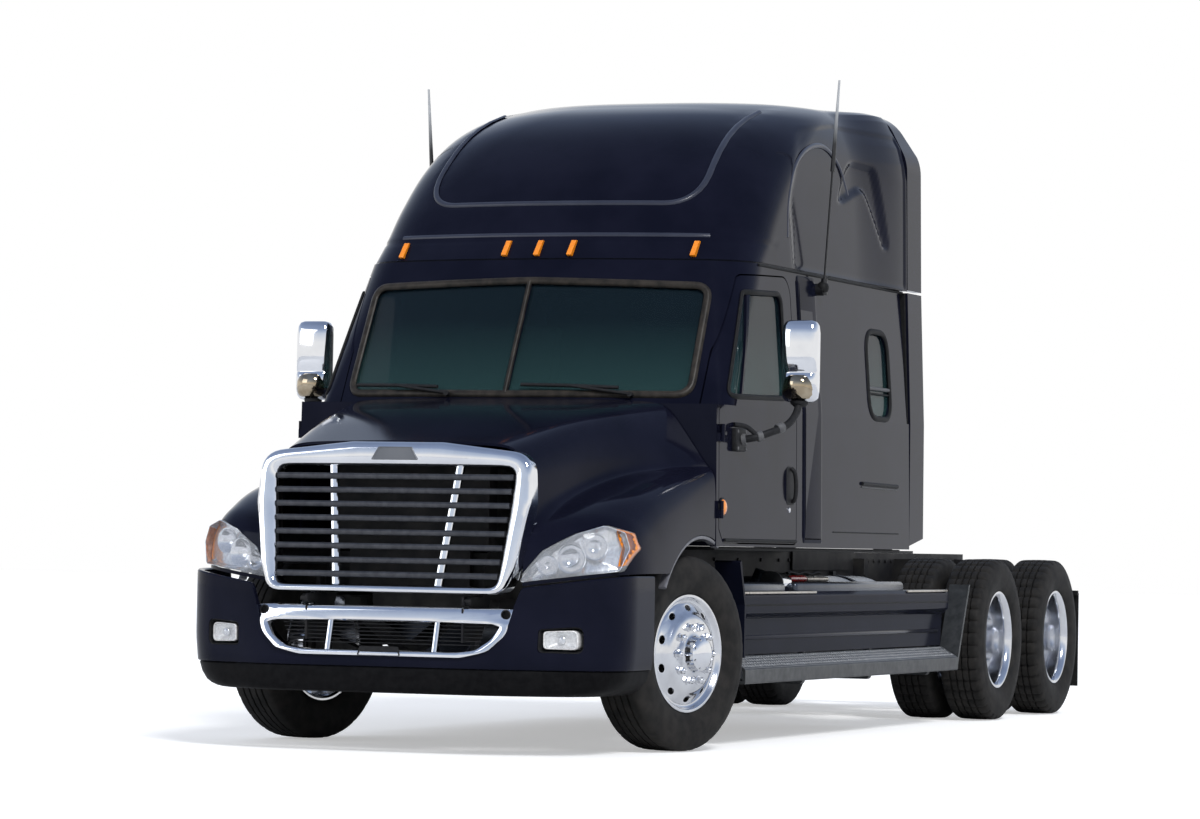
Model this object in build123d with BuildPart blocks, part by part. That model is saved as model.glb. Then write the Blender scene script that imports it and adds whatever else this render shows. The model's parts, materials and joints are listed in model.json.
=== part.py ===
"""Sleeper-cab highway tractor, each piece a separate solid, in millimetres.

X runs across with the truck's left side positive, Y runs from front to rear, Z is up.
The origin is on the ground, midway along the truck. Most places along the truck are
distances aft of the front axle, turned into Y by aft().
"""
import os
from math import cos, hypot, radians, sin, sqrt

from build123d import *

os.makedirs("parts", exist_ok=True)

# Driving dimensions of the whole truck
front_overhang = 1360
rear_overhang = 606
first_drive_axle = 5404
tandem_spacing = 1320
overall_length = front_overhang + first_drive_axle + tandem_spacing + rear_overhang
front_axle_y = front_overhang - overall_length / 2
body_half_width = 1200
seat_gap = 0.3
panel_gap = 8
sides = (-1, 1)
side_names = {1: "left", -1: "right"}

# Wheels and tyres
tyre_radius = 505
tyre_width = 285
rim_radius = 286
rim_half_width = 118
flange_radius = 304
flange_width = 13
dual_spacing = 335
steer_angle = -14.8
kingpin_x = 930
kingpin_radius = 22
kingpin_half_height = 116
boss_radius = 45
boss_half_height = 60
steer_tyre_offset = 117
outer_dual_x = 1097
drive_axle_places = {"front": first_drive_axle, "rear": first_drive_axle + tandem_spacing}
axle_height = tyre_radius
mount_face_x = outer_dual_x - dual_spacing / 2
spindle_radius = 38
axle_tube_radius = 50
drum_radius = 205
hand_holes = 10
hand_hole_radius = 29
hand_hole_circle = 233

# Steering linkage
arm_length = 190
arm_half_width = 22
stud_radius = 12
tie_rod_radius = 17

# Chassis
rail_outer_x = 430
rail_height = 266
rail_flange = 89
rail_wall = 10
frame_top = 1036
frame_front = -960
frame_rear = 7200
cross_member_places = [-880, 700, 2100, 3500, 4700, 6064, 7120]
cross_member_width = 120
cross_member_height = 200
rivet_strip = 30

# Cab shell: floor, screen and side walls
cab_wall = 50
cab_floor = 1060
cab_front = 212
cab_back = 3550
cowl_height = 1800
roof_seam = 2584
screen_foot = 175
screen_rake = 0.524
screen_arc_radius = 2800
waist_half_width = 1190
seam_half_width = 1130
corner_radius = 110
seam_corner_radius = 350
back_corner_radius = 60
glass_inset = 14
glass_thickness = 8
roof_skin = 40
extender_rear = 3820
extender_skin = 45

# Hood
hood_wall = 34
hood_rear = 205
hood_front = -1125
fender_front = -1230
fender_inner_x = 700
hood_hinge_y = -1285
hood_hinge_z = 765
hood_hinge_radius = 12
hinge_lug = 24
arch_centre = 20
arch_height = 450
arch_radius = 665
liner_thickness = 6
surround_foot_y = -1320
surround_foot_z = 800
surround_lean = 9.2

# Bumper
bumper_face = -1345
bumper_side_front = -1180
bumper_rear = -660
bumper_corner = 420
bumper_foot = 300
bumper_wall = 45
bumper_middle_top = 735
bumper_ledge_rear = -1215
bumper_cutout_x = 760

# Doors
door_wall = 45
door_reach = 1040
door_hinge_x = 1213
door_hinge_y = 252
barrel_radius = 11
barrel_height = 46
hinge_heights = (1250, 1650)


def aft(distance):
    """Y of a place that lies this far behind the front axle."""
    return front_axle_y + distance


def closed_outline(rows):
    """Face of a closed outline; a row is (across, up, corner radius)."""
    corners = [(u, v) for u, v, r in rows]
    with BuildLine() as line:
        FilletPolyline(*corners, radius=[r for u, v, r in rows], close=True)
    make_face(line.edges())


def placed(rows):
    """Rows of (distance aft, z, radius) as rows of (y, z, radius)."""
    return [(aft(y), z, r) for y, z, r in rows]


def both_sides(rows):
    """A half outline from the bottom up the left side, closed by its mirror image."""
    return rows + [(-u, v, r) for u, v, r in reversed(rows)]


def side_view(rows, inner_x, outer_x, mode=Mode.ADD, grow=0):
    """Solid of a side-view outline, rows of (distance aft, z, radius)."""
    with BuildSketch(Plane.YZ.offset(inner_x)) as sketch:
        closed_outline(placed(rows))
        if grow:
            offset(amount=grow, kind=Kind.INTERSECTION)
    extrude(sketch.sketch, amount=outer_x - inner_x, mode=mode)


def front_view(rows, near, far, mode=Mode.ADD, grow=0):
    """Solid of a front-view outline, rows of (x, z, radius), from near back to far."""
    with BuildSketch(Plane.XZ.offset(-aft(near))) as sketch:
        closed_outline(rows)
        if grow:
            offset(amount=grow, kind=Kind.INTERSECTION)
    extrude(sketch.sketch, amount=near - far, mode=mode)


def plan_view(rows, bottom, top, mode=Mode.ADD):
    """Solid of a plan outline, rows of (x, distance aft, radius), from bottom to top."""
    with BuildSketch(Plane.XY.offset(bottom)) as sketch:
        closed_outline([(x, aft(y), r) for x, y, r in rows])
    extrude(sketch.sketch, amount=top - bottom, mode=mode)


def block(across, along, up, mode=Mode.ADD):
    """Box between two places along each axis; along holds distances aft."""
    ranges = (across, (aft(along[0]), aft(along[1])), up)
    with Locations(tuple((low + high) / 2 for low, high in ranges)):
        Box(*[abs(high - low) for low, high in ranges], mode=mode)


def rod(start, end, radius, mode=Mode.ADD):
    """Round bar between two points, each (x, distance aft, z)."""
    start = Vector(start[0], aft(start[1]), start[2])
    end = Vector(end[0], aft(end[1]), end[2])
    with BuildSketch(Plane(origin=start, z_dir=end - start)) as sketch:
        Circle(radius)
    extrude(sketch.sketch, amount=(end - start).length, mode=mode)


def save(piece, name):
    """Label a finished piece and write it as its own file."""
    piece.part.label = name
    export_step(piece.part, f"parts/{name}.step")


# Ladder frame: two channel rails with front horns for bumper and hood, and cross members
front_horn_rows = [(frame_front, frame_top, 0), (frame_front - 60, frame_top - 60, 60),
                   (-1100, 790, 60), (-1308, 790, 22), (-1308, 742, 22), (-1210, 742, 0),
                   (-1210, 728, 0), (bumper_face + 40 + seat_gap, 728, 0),
                   (bumper_face + 40 + seat_gap, 560, 0), (-1080, 560, 80),
                   (frame_front, frame_top - rail_height, 0)]
with BuildPart() as ladder_frame:
    for side in sides:
        outer = side * rail_outer_x
        inner = side * (rail_outer_x - rail_flange)
        web = side * (rail_outer_x - rail_wall)
        foot = frame_top - rail_height
        with BuildSketch(Plane.XZ.offset(-aft(frame_front))):
            with BuildLine():
                Polyline(
                    (outer, foot), (outer, frame_top), (inner, frame_top),
                    (inner, frame_top - rail_wall), (web, frame_top - rail_wall),
                    (web, foot + rail_wall), (inner, foot + rail_wall), (inner, foot),
                    close=True,
                )
            make_face()
        extrude(amount=frame_front - frame_rear)
        horn = (side * (rail_outer_x - rail_wall), side * rail_outer_x)
        side_view(front_horn_rows, horn[0], horn[1])
        pin_ends = (side * (rail_outer_x - rail_wall), side * (rail_outer_x + hinge_lug + 8))
        rod((pin_ends[0], hood_hinge_y, hood_hinge_z), (pin_ends[1], hood_hinge_y, hood_hinge_z),
            hood_hinge_radius)
    web_x = rail_outer_x - rail_wall
    member_foot = frame_top - (rail_height + cross_member_height) / 2
    member_top = member_foot + cross_member_height
    for place in cross_member_places:
        near = place - cross_member_width / 2
        far = place + cross_member_width / 2
        block((-web_x, web_x), (near, far), (member_foot, member_top))
        block((-web_x, web_x), (near + rail_wall, far + 1),
              (member_foot + rail_wall, member_top - rail_wall), mode=Mode.SUBTRACT)
save(ladder_frame, "ladder_frame")

# Dropped front axle beam with its kingpins
beam_half = 45
beam_rows = [(-890, -50, 0), (-650, -135, 60), (650, -135, 60), (890, -50, 0),
             (890, 50, 0), (640, -45, 60), (-640, -45, 60), (-890, 50, 0)]
spring_x = 430
spring_half_width = 45
spring_pad_top = axle_height - 25
with BuildPart() as front_axle:
    front_view([(x, axle_height + z, r) for x, z, r in beam_rows], -beam_half, beam_half)
    for side in sides:
        rod((side * kingpin_x, 0, axle_height - boss_half_height),
            (side * kingpin_x, 0, axle_height + boss_half_height), boss_radius)
        rod((side * kingpin_x, 0, axle_height - kingpin_half_height),
            (side * kingpin_x, 0, axle_height + kingpin_half_height), kingpin_radius)
        block((side * spring_x - 50, side * spring_x + 50), (-110, 110),
              (axle_height - 60, spring_pad_top))
save(front_axle, "front_axle_beam")

# Tapered leaf springs with their hangers, one pair at the front axle
leaf_thickness = 26
spring_half_length = 700
spring_eye_z = 700
with BuildPart() as front_springs:
    for side in sides:
        across = (side * spring_x - spring_half_width, side * spring_x + spring_half_width)
        base = spring_pad_top + seat_gap
        leaf = [(-spring_half_length, spring_eye_z, 0), (-110, base, 300), (110, base, 300),
                (spring_half_length, spring_eye_z, 0),
                (spring_half_length, spring_eye_z + leaf_thickness, 0),
                (110, base + 2 * leaf_thickness, 300), (-110, base + 2 * leaf_thickness, 300),
                (-spring_half_length, spring_eye_z + leaf_thickness, 0)]
        side_view(leaf, across[0], across[1])
        for end in (-spring_half_length, spring_half_length):
            block(across, (end - 40, end + 40),
                  (spring_eye_z - 20, frame_top - rail_height - seat_gap))
save(front_springs, "front_springs")

# Drive axles: tubes with a rounded differential bowl, joined by the drive shaft
bowl_radius = 205
axle_tube_outer = 66
shaft_radius = 45
with BuildPart() as drive_axles:
    for place in drive_axle_places.values():
        rod((-600, place, axle_height), (600, place, axle_height), axle_tube_outer)
        for side in sides:
            rod((side * 590, place, axle_height),
                (side * (mount_face_x + 60), place, axle_height), axle_tube_radius)
        with Locations((0, aft(place), axle_height)):
            Sphere(bowl_radius)
        rod((0, place - 330, axle_height + 90), (0, place, axle_height + 40), 80)
    rod((0, drive_axle_places["front"], axle_height + 70),
        (0, drive_axle_places["rear"] - 320, axle_height + 88), shaft_radius)
save(drive_axles, "drive_axles")

# Air springs, trailing beams and hangers of the tandem
air_spring_radius = 120
air_spring_x = 470
beam_x = 470
with BuildPart() as rear_suspension:
    for place in drive_axle_places.values():
        for side in sides:
            rod((side * air_spring_x, place + 330, 560),
                (side * air_spring_x, place + 330, frame_top - rail_height - seat_gap),
                air_spring_radius)
            block((side * beam_x - 38, side * beam_x + 38), (place - 520, place + 400),
                  (axle_height + axle_tube_outer + seat_gap - 6, 600))
            block((side * beam_x - 38, side * beam_x + 38), (place - 560, place - 480), (560, 900))
            block((side * (rail_outer_x + seat_gap), side * 500), (place - 560, place - 480),
                  (790, 1000))
            block((side * (rail_outer_x + seat_gap), side * 560), (place + 280, place + 380),
                  (800, 1000))
    for place in drive_axle_places.values():
        rod((-600, place, axle_height), (600, place, axle_height),
            axle_tube_outer + seat_gap, mode=Mode.SUBTRACT)
save(rear_suspension, "rear_suspension")

# Engine as one plain block, and the radiator in front of it
with BuildPart() as engine_block:
    block((-300, 300), (-780, 150), (700, 1480))
    fillet(engine_block.edges().filter_by(Axis.Y), radius=60)
    foot_x = rail_outer_x - rail_wall - seat_gap
    for near in (-640, -100):
        block((-foot_x, foot_x), (near, near + 120), (880, 930))
save(engine_block, "engine_block")

with BuildPart() as radiator:
    block((-430, 430), (-1000, -900), (frame_top + seat_gap, 1440))
    block((-330, 330), (-1000, -960 - seat_gap), (800, frame_top + 1))
    block((-330, 330), (-1000, -900), (frame_top - 2, frame_top + 20))
save(radiator, "radiator")


def bumper_form(inset):
    """The bumper's filled form, drawn in by inset all round."""
    side_x = body_half_width - 5 - inset
    corner = bumper_corner - inset
    plan = both_sides([(side_x, bumper_rear + (1 if inset else 0), 0),
                       (side_x, bumper_side_front + inset, corner),
                       (620, bumper_face + inset, 900)])
    front = both_sides([(side_x - 25, bumper_foot - inset, 140), (side_x + 1, 560, 0),
                        (side_x + 1, 905 - inset, 0),
                        (700, 832 - inset, 25), (655, bumper_middle_top - inset, 15)])
    with BuildPart() as form:
        plan_view(plan, bumper_foot - inset, 910 - inset)
        front_view(front, bumper_face - 20, bumper_rear + 20, mode=Mode.INTERSECT)
    return form.part


# Bumper: a wrapped shell with the lower grille, fog lamp and hook openings
lower_grille_rows = both_sides([(520, 492, 40), (610, 590, 60), (682, 728, 18)])
lower_opening_rows = both_sides([(440, 532, 35), (520, 600, 45), (560, 662, 18)])
fog_rows = [(800, 532, 20), (980, 532, 30), (980, 622, 30), (800, 622, 12)]
bumper_outer = bumper_form(0)
bumper_inner = bumper_form(bumper_wall)
with BuildPart() as bumper:
    add(bumper_outer)
    add(bumper_inner, mode=Mode.SUBTRACT)
    front_view(lower_grille_rows, bumper_face - 30, bumper_face + 200, mode=Mode.SUBTRACT,
               grow=seat_gap)
    for side in sides:
        rows = [(side * x, z, r) for x, z, r in fog_rows]
        front_view(rows, bumper_face - 30, -900, mode=Mode.SUBTRACT)
    block((-bumper_cutout_x, bumper_cutout_x), (bumper_ledge_rear, bumper_rear + 1),
          (bumper_foot - 1, 910), mode=Mode.SUBTRACT)
save(bumper, "bumper")

# Chrome lower grille: a dished ring with two uprights
tow_hole_x = 628
tow_hole_z = 697
tow_hole_radius = 20
chrome_proud = 15
with BuildPart() as lower_grille:
    front_view(lower_grille_rows, bumper_face - chrome_proud, bumper_face + 40)
    front_view(lower_opening_rows, bumper_face - 40, bumper_face + 60, mode=Mode.SUBTRACT)
    for side in sides:
        block((side * 290 - 12, side * 290 + 12), (bumper_face, bumper_face + 30), (520, 675))
        rod((side * tow_hole_x, bumper_face - 40, tow_hole_z),
            (side * tow_hole_x, bumper_face + 60, tow_hole_z), tow_hole_radius, mode=Mode.SUBTRACT)
save(lower_grille, "lower_grille")

# Fog lamps seated in their recesses
with BuildPart() as fog_lamps:
    for side in sides:
        rows = [(side * x, z, r) for x, z, r in fog_rows]
        front_view(rows, -1215, -1120, grow=-seat_gap)
save(fog_lamps, "fog_lamps")


def plan_section(height, front, half, back, radius):
    """Plan outline of the cab at one height: bowed front, rounded corners, flat back."""
    sag = screen_arc_radius - sqrt(screen_arc_radius**2 - half**2)
    with BuildSketch(Plane.XY.offset(height)) as section:
        with BuildLine():
            ThreePointArc((-half, aft(front) + sag), (0, aft(front)), (half, aft(front) + sag))
            Polyline((half, aft(front) + sag), (half, aft(back)),
                     (-half, aft(back)), (-half, aft(front) + sag))
        make_face()
        fillet(section.vertices().group_by(Axis.Y)[0], radius=radius)
        fillet(section.vertices().group_by(Axis.Y)[-1], radius=back_corner_radius)
    return section.sketch


def greenhouse_form(inset, extra=0):
    """Filled form of the cab above the cowl, with the raked screen in front."""
    screen_inset = inset * hypot(1, screen_rake)
    foot = cowl_height - extra
    half_rise = (waist_half_width - seam_half_width) / (roof_seam - cowl_height)
    corner_growth = (seam_corner_radius - corner_radius) / (roof_seam - cowl_height)
    sections = []
    for height in (foot, roof_seam):
        rise = height - cowl_height
        half = waist_half_width - half_rise * rise - inset
        front = screen_foot + screen_rake * rise + screen_inset
        radius = corner_radius + corner_growth * rise - inset
        sections.append(plan_section(height, front, half, cab_back - inset, radius))
    with BuildPart() as form:
        loft(sections, ruled=True)
    return form.part


def cab_form(inset):
    """Filled form of the whole cab below the roof seam."""
    floor_half = body_half_width - inset
    waist_half = waist_half_width - inset
    with BuildPart() as form:
        front_view([(floor_half, cab_floor + inset, 0), (waist_half, cowl_height - inset, 0),
                    (-waist_half, cowl_height - inset, 0), (-floor_half, cab_floor + inset, 0)],
                   cab_front + inset, cab_back - inset)
        add(greenhouse_form(inset, extra=inset + (5 if inset else 0)))
    return form.part


# Door and window outlines, rows of (distance aft, z, corner radius)
door_rows = [(318, 1080, 15), (1490, 1080, 40), (1490, 2535, 110), (820, 2508, 50),
             (345, cowl_height + 8, 60), (255, cowl_height - 30, 15), (255, 1150, 15)]
door_window_rows = [(470, cowl_height + 52, 30), (1330, cowl_height + 72, 60), (1330, 2432, 70),
                    (812, 2412, 30)]
divider_rows = [(600, cowl_height + 40, 0), (624, cowl_height + 40, 0), (870, 2440, 0),
                (846, 2440, 0)]
sleeper_window_rows = [(2800, 1817, 130), (3190, 1817, 130), (3190, 2310, 130), (2800, 2310, 130)]
half_screen_rows = [(12, cowl_height + 52, 4), (975, cowl_height + 58, 75), (962, 2436, 75),
                    (12, 2460, 4)]

cab_outer = cab_form(0)
cab_inner = cab_form(cab_wall)
door_inner = cab_form(door_wall)
pane_outer = greenhouse_form(glass_inset)
pane_inner = greenhouse_form(glass_inset + glass_thickness)

# Cab shell: floor, pillars, cowl, sleeper walls and back wall in one hollow body
with BuildPart() as cab_shell:
    add(cab_outer)
    add(cab_inner, mode=Mode.SUBTRACT)
    for side in sides:
        side_view(door_rows, side * (door_reach - panel_gap), side * (body_half_width + 60),
                  mode=Mode.SUBTRACT, grow=panel_gap)
        side_view(sleeper_window_rows, side * 1000, side * (body_half_width + 60),
                  mode=Mode.SUBTRACT)
        screen = [(side * x, z, r) for x, z, r in half_screen_rows]
        front_view(screen, 100, 1000, mode=Mode.SUBTRACT)
        for height in hinge_heights:
            rod((side * door_hinge_x, door_hinge_y, height - barrel_height),
                (side * door_hinge_x, door_hinge_y, height), barrel_radius)
            block((side * 1188, side * (door_hinge_x - 4)), (cab_front + 4, door_hinge_y),
                  (height - barrel_height, height))
save(cab_shell, "cab_shell")

with BuildPart() as windshield:
    for side in sides:
        screen = [(side * x, z, r) for x, z, r in half_screen_rows]
        front_view(screen, 100, 1000, grow=-seat_gap)
    add(pane_outer, mode=Mode.INTERSECT)
    add(pane_inner, mode=Mode.SUBTRACT)
save(windshield, "windshield")

with BuildPart() as sleeper_windows:
    for side in sides:
        side_view(sleeper_window_rows, side * 1000, side * 1300, grow=-seat_gap)
    add(pane_outer, mode=Mode.INTERSECT)
    add(pane_inner, mode=Mode.SUBTRACT)
save(sleeper_windows, "sleeper_windows")

# Roof cap sections, rows of (z, front distance aft, half width, corner radius)
roof_rows = [
    (roof_seam + panel_gap, 600, 1128, 360),
    (2715, 700, 1122, 420),
    (2900, 826, 1112, 500),
    (3130, 1030, 1094, 600),
    (3330, 1290, 1062, 700),
    (3470, 1600, 1005, 760),
    (3560, 1950, 925, 760),
    (3606, 2380, 800, 680),
]


def roof_form(inset):
    """Filled form of the raised roof cap, lofted through its plan sections."""
    rows = roof_rows
    if inset:
        rows = [(z, y + inset * 1.2, half - inset, radius) for z, y, half, radius in roof_rows[:-2]]
        rows.append((roof_rows[-1][0] - inset, roof_rows[-2][1] + 280, 800 - inset, 640))
    sections = [plan_section(z, y, half, cab_back - inset, radius) for z, y, half, radius in rows]
    with BuildPart() as form:
        loft(sections, ruled=True)
    return form.part


# Roof cap: hollow moulding seated on the cab by a lip inside the seam
roof_outer = roof_form(0)
with BuildPart() as roof_cap:
    add(roof_outer)
    add(roof_form(roof_skin), mode=Mode.SUBTRACT)
    lip_foot = roof_seam + seat_gap
    lip_rise = panel_gap + 2
    extrude(plan_section(lip_foot, 608, 1116, cab_back - 14, 338), amount=lip_rise)
    extrude(plan_section(lip_foot - 1, 645, 1082, cab_back - 48, 304), amount=lip_rise + 2,
            mode=Mode.SUBTRACT)
save(roof_cap, "roof_cap")

# Side extenders behind the cab: an arch above the seam and a panel below it on each side
roof_back_rows = both_sides([(body_half_width, cab_floor + 5, 0), (1195, cowl_height, 0),
                             (1165, roof_seam, 0), (1150, 3360, 280), (1000, 3640, 200)])
with BuildPart() as side_extenders:
    with BuildSketch(Plane.XZ.offset(-aft(cab_back + seat_gap))):
        closed_outline(roof_back_rows)
        offset(amount=-extender_skin, mode=Mode.SUBTRACT)
    extrude(amount=cab_back - extender_rear)
    block((-1000, 1000), (cab_back, extender_rear + 1), (cab_floor, 1300), mode=Mode.SUBTRACT)
    block((-1300, 1300), (cab_back - 1, extender_rear + 1),
          (roof_seam - panel_gap, roof_seam + panel_gap), mode=Mode.SUBTRACT)
    side_view([(cab_back + 130, 3800, 0), (cab_back + 130, 3640, 0), (extender_rear, 3400, 0),
               (extender_rear + 60, 3400, 0), (extender_rear + 60, 3800, 0)],
              -1300, 1300, mode=Mode.SUBTRACT)
    side_view([(cab_back - 10, 1000, 0), (extender_rear + 60, 1000, 0),
               (extender_rear + 60, 1135, 0), (cab_back - 10, 1080, 0)],
              -1300, 1300, mode=Mode.SUBTRACT)
save(side_extenders, "side_extenders")

# Marker lamps: a slim upright row along the brow of the roof cap
marker_places = (-850, -190, 0, 190, 850)
marker_half_width = 14
marker_foot = 2603
marker_top = 2690
with BuildPart() as marker_lamps:
    for x in marker_places:
        sag = screen_arc_radius - sqrt(screen_arc_radius**2 - x**2)
        front = roof_rows[0][1] + sag
        lean = (roof_rows[1][1] - roof_rows[0][1]) / (roof_rows[1][0] - roof_rows[0][0])
        near_foot = front + lean * (marker_foot - roof_rows[0][0]) - seat_gap
        near_top = front + lean * (marker_top - roof_rows[0][0]) - seat_gap
        side_view([(near_foot - 24, marker_foot + 8, 6), (near_foot + 14, marker_foot - 4, 0),
                   (near_top + 18, marker_top, 0), (near_top - 16, marker_top + 4, 6)],
                  x - marker_half_width, x + marker_half_width)
    add(roof_outer, mode=Mode.SUBTRACT)
save(marker_lamps, "marker_lamps")

# Dashboard across the front of the cab
with BuildPart() as dashboard:
    side_view([(cab_front + cab_wall + seat_gap, 1450, 0), (620, 1450, 60), (650, 1640, 70),
               (560, cowl_height - 20, 60), (450, cowl_height - 10, 0), (440, 1735, 0),
               (cab_front + cab_wall + seat_gap, 1700, 0)],
              -1020, 1020)
save(dashboard, "dashboard")

# Steering wheel on its column
wheel_centre = (520, 800, 1800)
steering_wheel_radius = 225
with BuildPart() as steering_wheel:
    tilt = Plane(origin=(wheel_centre[0], aft(wheel_centre[1]), wheel_centre[2]),
                 x_dir=(1, 0, 0), z_dir=(0, 0.5, 0.87))
    with BuildSketch(tilt.offset(-16)):
        Circle(steering_wheel_radius)
        Circle(steering_wheel_radius - 30, mode=Mode.SUBTRACT)
        Rectangle(2 * steering_wheel_radius - 20, 34)
        with Locations((0, -100)):
            Rectangle(34, 200)
        Circle(70)
    extrude(amount=32)
    rod(wheel_centre, (520, 652, 1540), 32)
    add(dashboard.part, mode=Mode.SUBTRACT)
save(steering_wheel, "steering_wheel")

# Two air-ride seats on their pedestals
seat_x = 530
seat_rows = [(1000, cab_floor + cab_wall + seat_gap, 0), (1500, cab_floor + cab_wall + seat_gap, 0),
             (1470, 1480, 40), (1560, 1560, 60), (1700, 2260, 45), (1590, 2280, 45),
             (1440, 1640, 80), (950, 1640, 60), (940, 1520, 50), (1010, 1480, 40)]
with BuildPart() as seats:
    for side in sides:
        side_view(seat_rows, side * seat_x - 250, side * seat_x + 250)
save(seats, "seats")

# Bunk at the back of the sleeper
with BuildPart() as bunk:
    block((-1050, 1050), (2560, cab_back - cab_wall - seat_gap),
          (cab_floor + cab_wall + seat_gap, 1520))
    block((-1050, 1050), (2580, cab_back - cab_wall - seat_gap), (1520, 1660))
    fillet(bunk.edges().filter_by(Axis.X).group_by(Axis.Z)[-1], radius=40)
save(bunk, "bunk")

# Side fairings: skirts beside the tanks, and the sloping step tread along their foot
skirt_front = 712
skirt_rear = 4575
step_front = 700
step_rear = 4580
skirt_rows = [(1045, 806, 0), (1045, 820, 0), (1112, 820, 14), (1132, 795, 14), (1132, 705, 12),
              (1092, 672, 8), (1085, 480, 0), (1070, 480, 0), (1076, 684, 0), (1116, 714, 0),
              (1116, 806, 0)]
with BuildPart() as side_fairings:
    for side in sides:
        front_view([(side * x, z, r) for x, z, r in skirt_rows], skirt_front, skirt_rear)
        side_view([(skirt_front - 12, 470, 0), (skirt_front + 8, 470, 0), (skirt_front + 8, 760, 0),
                   (640, 985, 0), (618, 975, 0), (skirt_front - 12, 752, 0)],
                  side * 1045, side * 1190)
save(side_fairings, "side_fairings")

step_rows = [(1200, 330, 10), (1200, 408, 14), (1090, 470, 0), (1060, 470, 0), (1060, 455, 0),
             (1086, 455, 0), (1184, 400, 0), (1184, 345, 0), (1060, 345, 0), (1060, 330, 0)]
bracket_places = (900, 2050, 3250, 4400)
with BuildPart() as side_steps:
    for side in sides:
        front_view([(side * x, z, r) for x, z, r in step_rows], step_front, step_rear)
        side_view([(step_rear - 30, 330, 0), (step_rear, 330, 0), (4830, 850, 0), (4802, 850, 0)],
                  side * 1070, side * 1195)
        for place in bracket_places:
            front_view([(side * (rail_outer_x + seat_gap), 920, 0),
                        (side * (rail_outer_x + seat_gap), 300, 20),
                        (side * 1066, 300, 20), (side * 1066, 480, 0), (side * 1040, 480, 0),
                        (side * 1040, 326, 10), (side * 460, 326, 30), (side * 455, 920, 0)],
                       place - 25, place + 25)
save(side_steps, "side_steps")

# Round fuel tanks resting in their brackets
tank_radius = 285
tank_x = 765
tank_height = 326 + seat_gap + tank_radius
tank_front = 1050
tank_rear = 3900
with BuildPart() as fuel_tanks:
    for side in sides:
        rod((side * tank_x, tank_front, tank_height), (side * tank_x, tank_rear, tank_height),
            tank_radius)
    fillet(fuel_tanks.edges().filter_by(GeomType.CIRCLE), radius=30)
    for side in sides:
        rod((side * (tank_x + 90), 1850, tank_height + tank_radius - 40),
            (side * (tank_x + 120), 1850, tank_height + tank_radius + 30), 45)
save(fuel_tanks, "fuel_tanks")

# Deck plate on the frame behind the cab
with BuildPart() as rear_deck:
    block((-rail_outer_x, rail_outer_x), (3640, 4760), (frame_top + seat_gap, frame_top + 14))
    for side in sides:
        block((side * (rail_outer_x + seat_gap), side * (rail_outer_x + 14)), (3640, 4760),
              (frame_top - 110, frame_top + 14))
save(rear_deck, "rear_deck")

# Cab mounts between the frame and the cab floor
with BuildPart() as cab_mounts:
    for place in (420, 3300):
        for side in sides:
            rod((side * 380, place, frame_top + seat_gap), (side * 380, place, cab_floor - seat_gap), 60)
save(cab_mounts, "cab_mounts")

# Fifth wheel: pedestals with pins, and the tilting plate with its throat
fifth_wheel_y = 5750
fifth_pin_z = 1140
fifth_pin_radius = 24
fifth_ear_x = 300
fifth_top = 1215
with BuildPart() as fifth_wheel_base:
    block((-rail_outer_x, rail_outer_x), (fifth_wheel_y - 420, fifth_wheel_y + 330),
          (frame_top + seat_gap, frame_top + 16))
    for side in sides:
        side_view([(fifth_wheel_y - 170, frame_top + 10, 0), (fifth_wheel_y + 170, frame_top + 10, 0),
                   (fifth_wheel_y + 45, fifth_pin_z + 28, 26),
                   (fifth_wheel_y - 45, fifth_pin_z + 28, 26)],
                  side * (fifth_ear_x + 14), side * (fifth_ear_x + 44))
        rod((side * (fifth_ear_x - 30), fifth_wheel_y, fifth_pin_z),
            (side * (fifth_ear_x + 44), fifth_wheel_y, fifth_pin_z), fifth_pin_radius)
save(fifth_wheel_base, "fifth_wheel_base")

kingpin_throat = 25.5
fifth_plate_rows = both_sides([(300, 470, 40), (420, 330, 60), (450, 0, 0),
                               (400, -330, 60), (230, -430, 60)])
with BuildPart() as fifth_wheel_plate:
    plan_view([(x, fifth_wheel_y + y, r) for x, y, r in fifth_plate_rows], fifth_top - 30, fifth_top)
    plan_view([(-kingpin_throat, fifth_wheel_y + 40, 0), (kingpin_throat, fifth_wheel_y + 40, 0),
               (110, fifth_wheel_y + 480, 0), (-110, fifth_wheel_y + 480, 0)],
              fifth_top - 60, fifth_top + 1, mode=Mode.SUBTRACT)
    rod((0, fifth_wheel_y, fifth_top - 60), (0, fifth_wheel_y, fifth_top + 1), kingpin_throat,
        mode=Mode.SUBTRACT)
    block((-kingpin_throat, kingpin_throat), (fifth_wheel_y, fifth_wheel_y + 60),
          (fifth_top - 60, fifth_top + 1), mode=Mode.SUBTRACT)
    for side in sides:
        side_view([(fifth_wheel_y - 40, fifth_top - 20, 0), (fifth_wheel_y + 40, fifth_top - 20, 0),
                   (fifth_wheel_y + 40, fifth_pin_z - 36, 30),
                   (fifth_wheel_y - 40, fifth_pin_z - 36, 30)],
                  side * (fifth_ear_x - 26), side * (fifth_ear_x + 10))
        rod((side * (fifth_ear_x - 30), fifth_wheel_y, fifth_pin_z),
            (side * (fifth_ear_x + 11), fifth_wheel_y, fifth_pin_z),
            fifth_pin_radius + seat_gap, mode=Mode.SUBTRACT)
save(fifth_wheel_plate, "fifth_wheel_plate")

# Mud flaps on their hanger bars
with BuildPart() as mud_flaps:
    for side in sides:
        block((side * 620, side * 1205), (7318, 7330), (170, 790))
        bracket_x = side * (rail_outer_x + seat_gap)
        block((bracket_x, side * 460), (7110, 7318), (775, 807))
        block((bracket_x, side * 1205), (7292, 7318), (775, 807))
save(mud_flaps, "mud_flaps")

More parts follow.
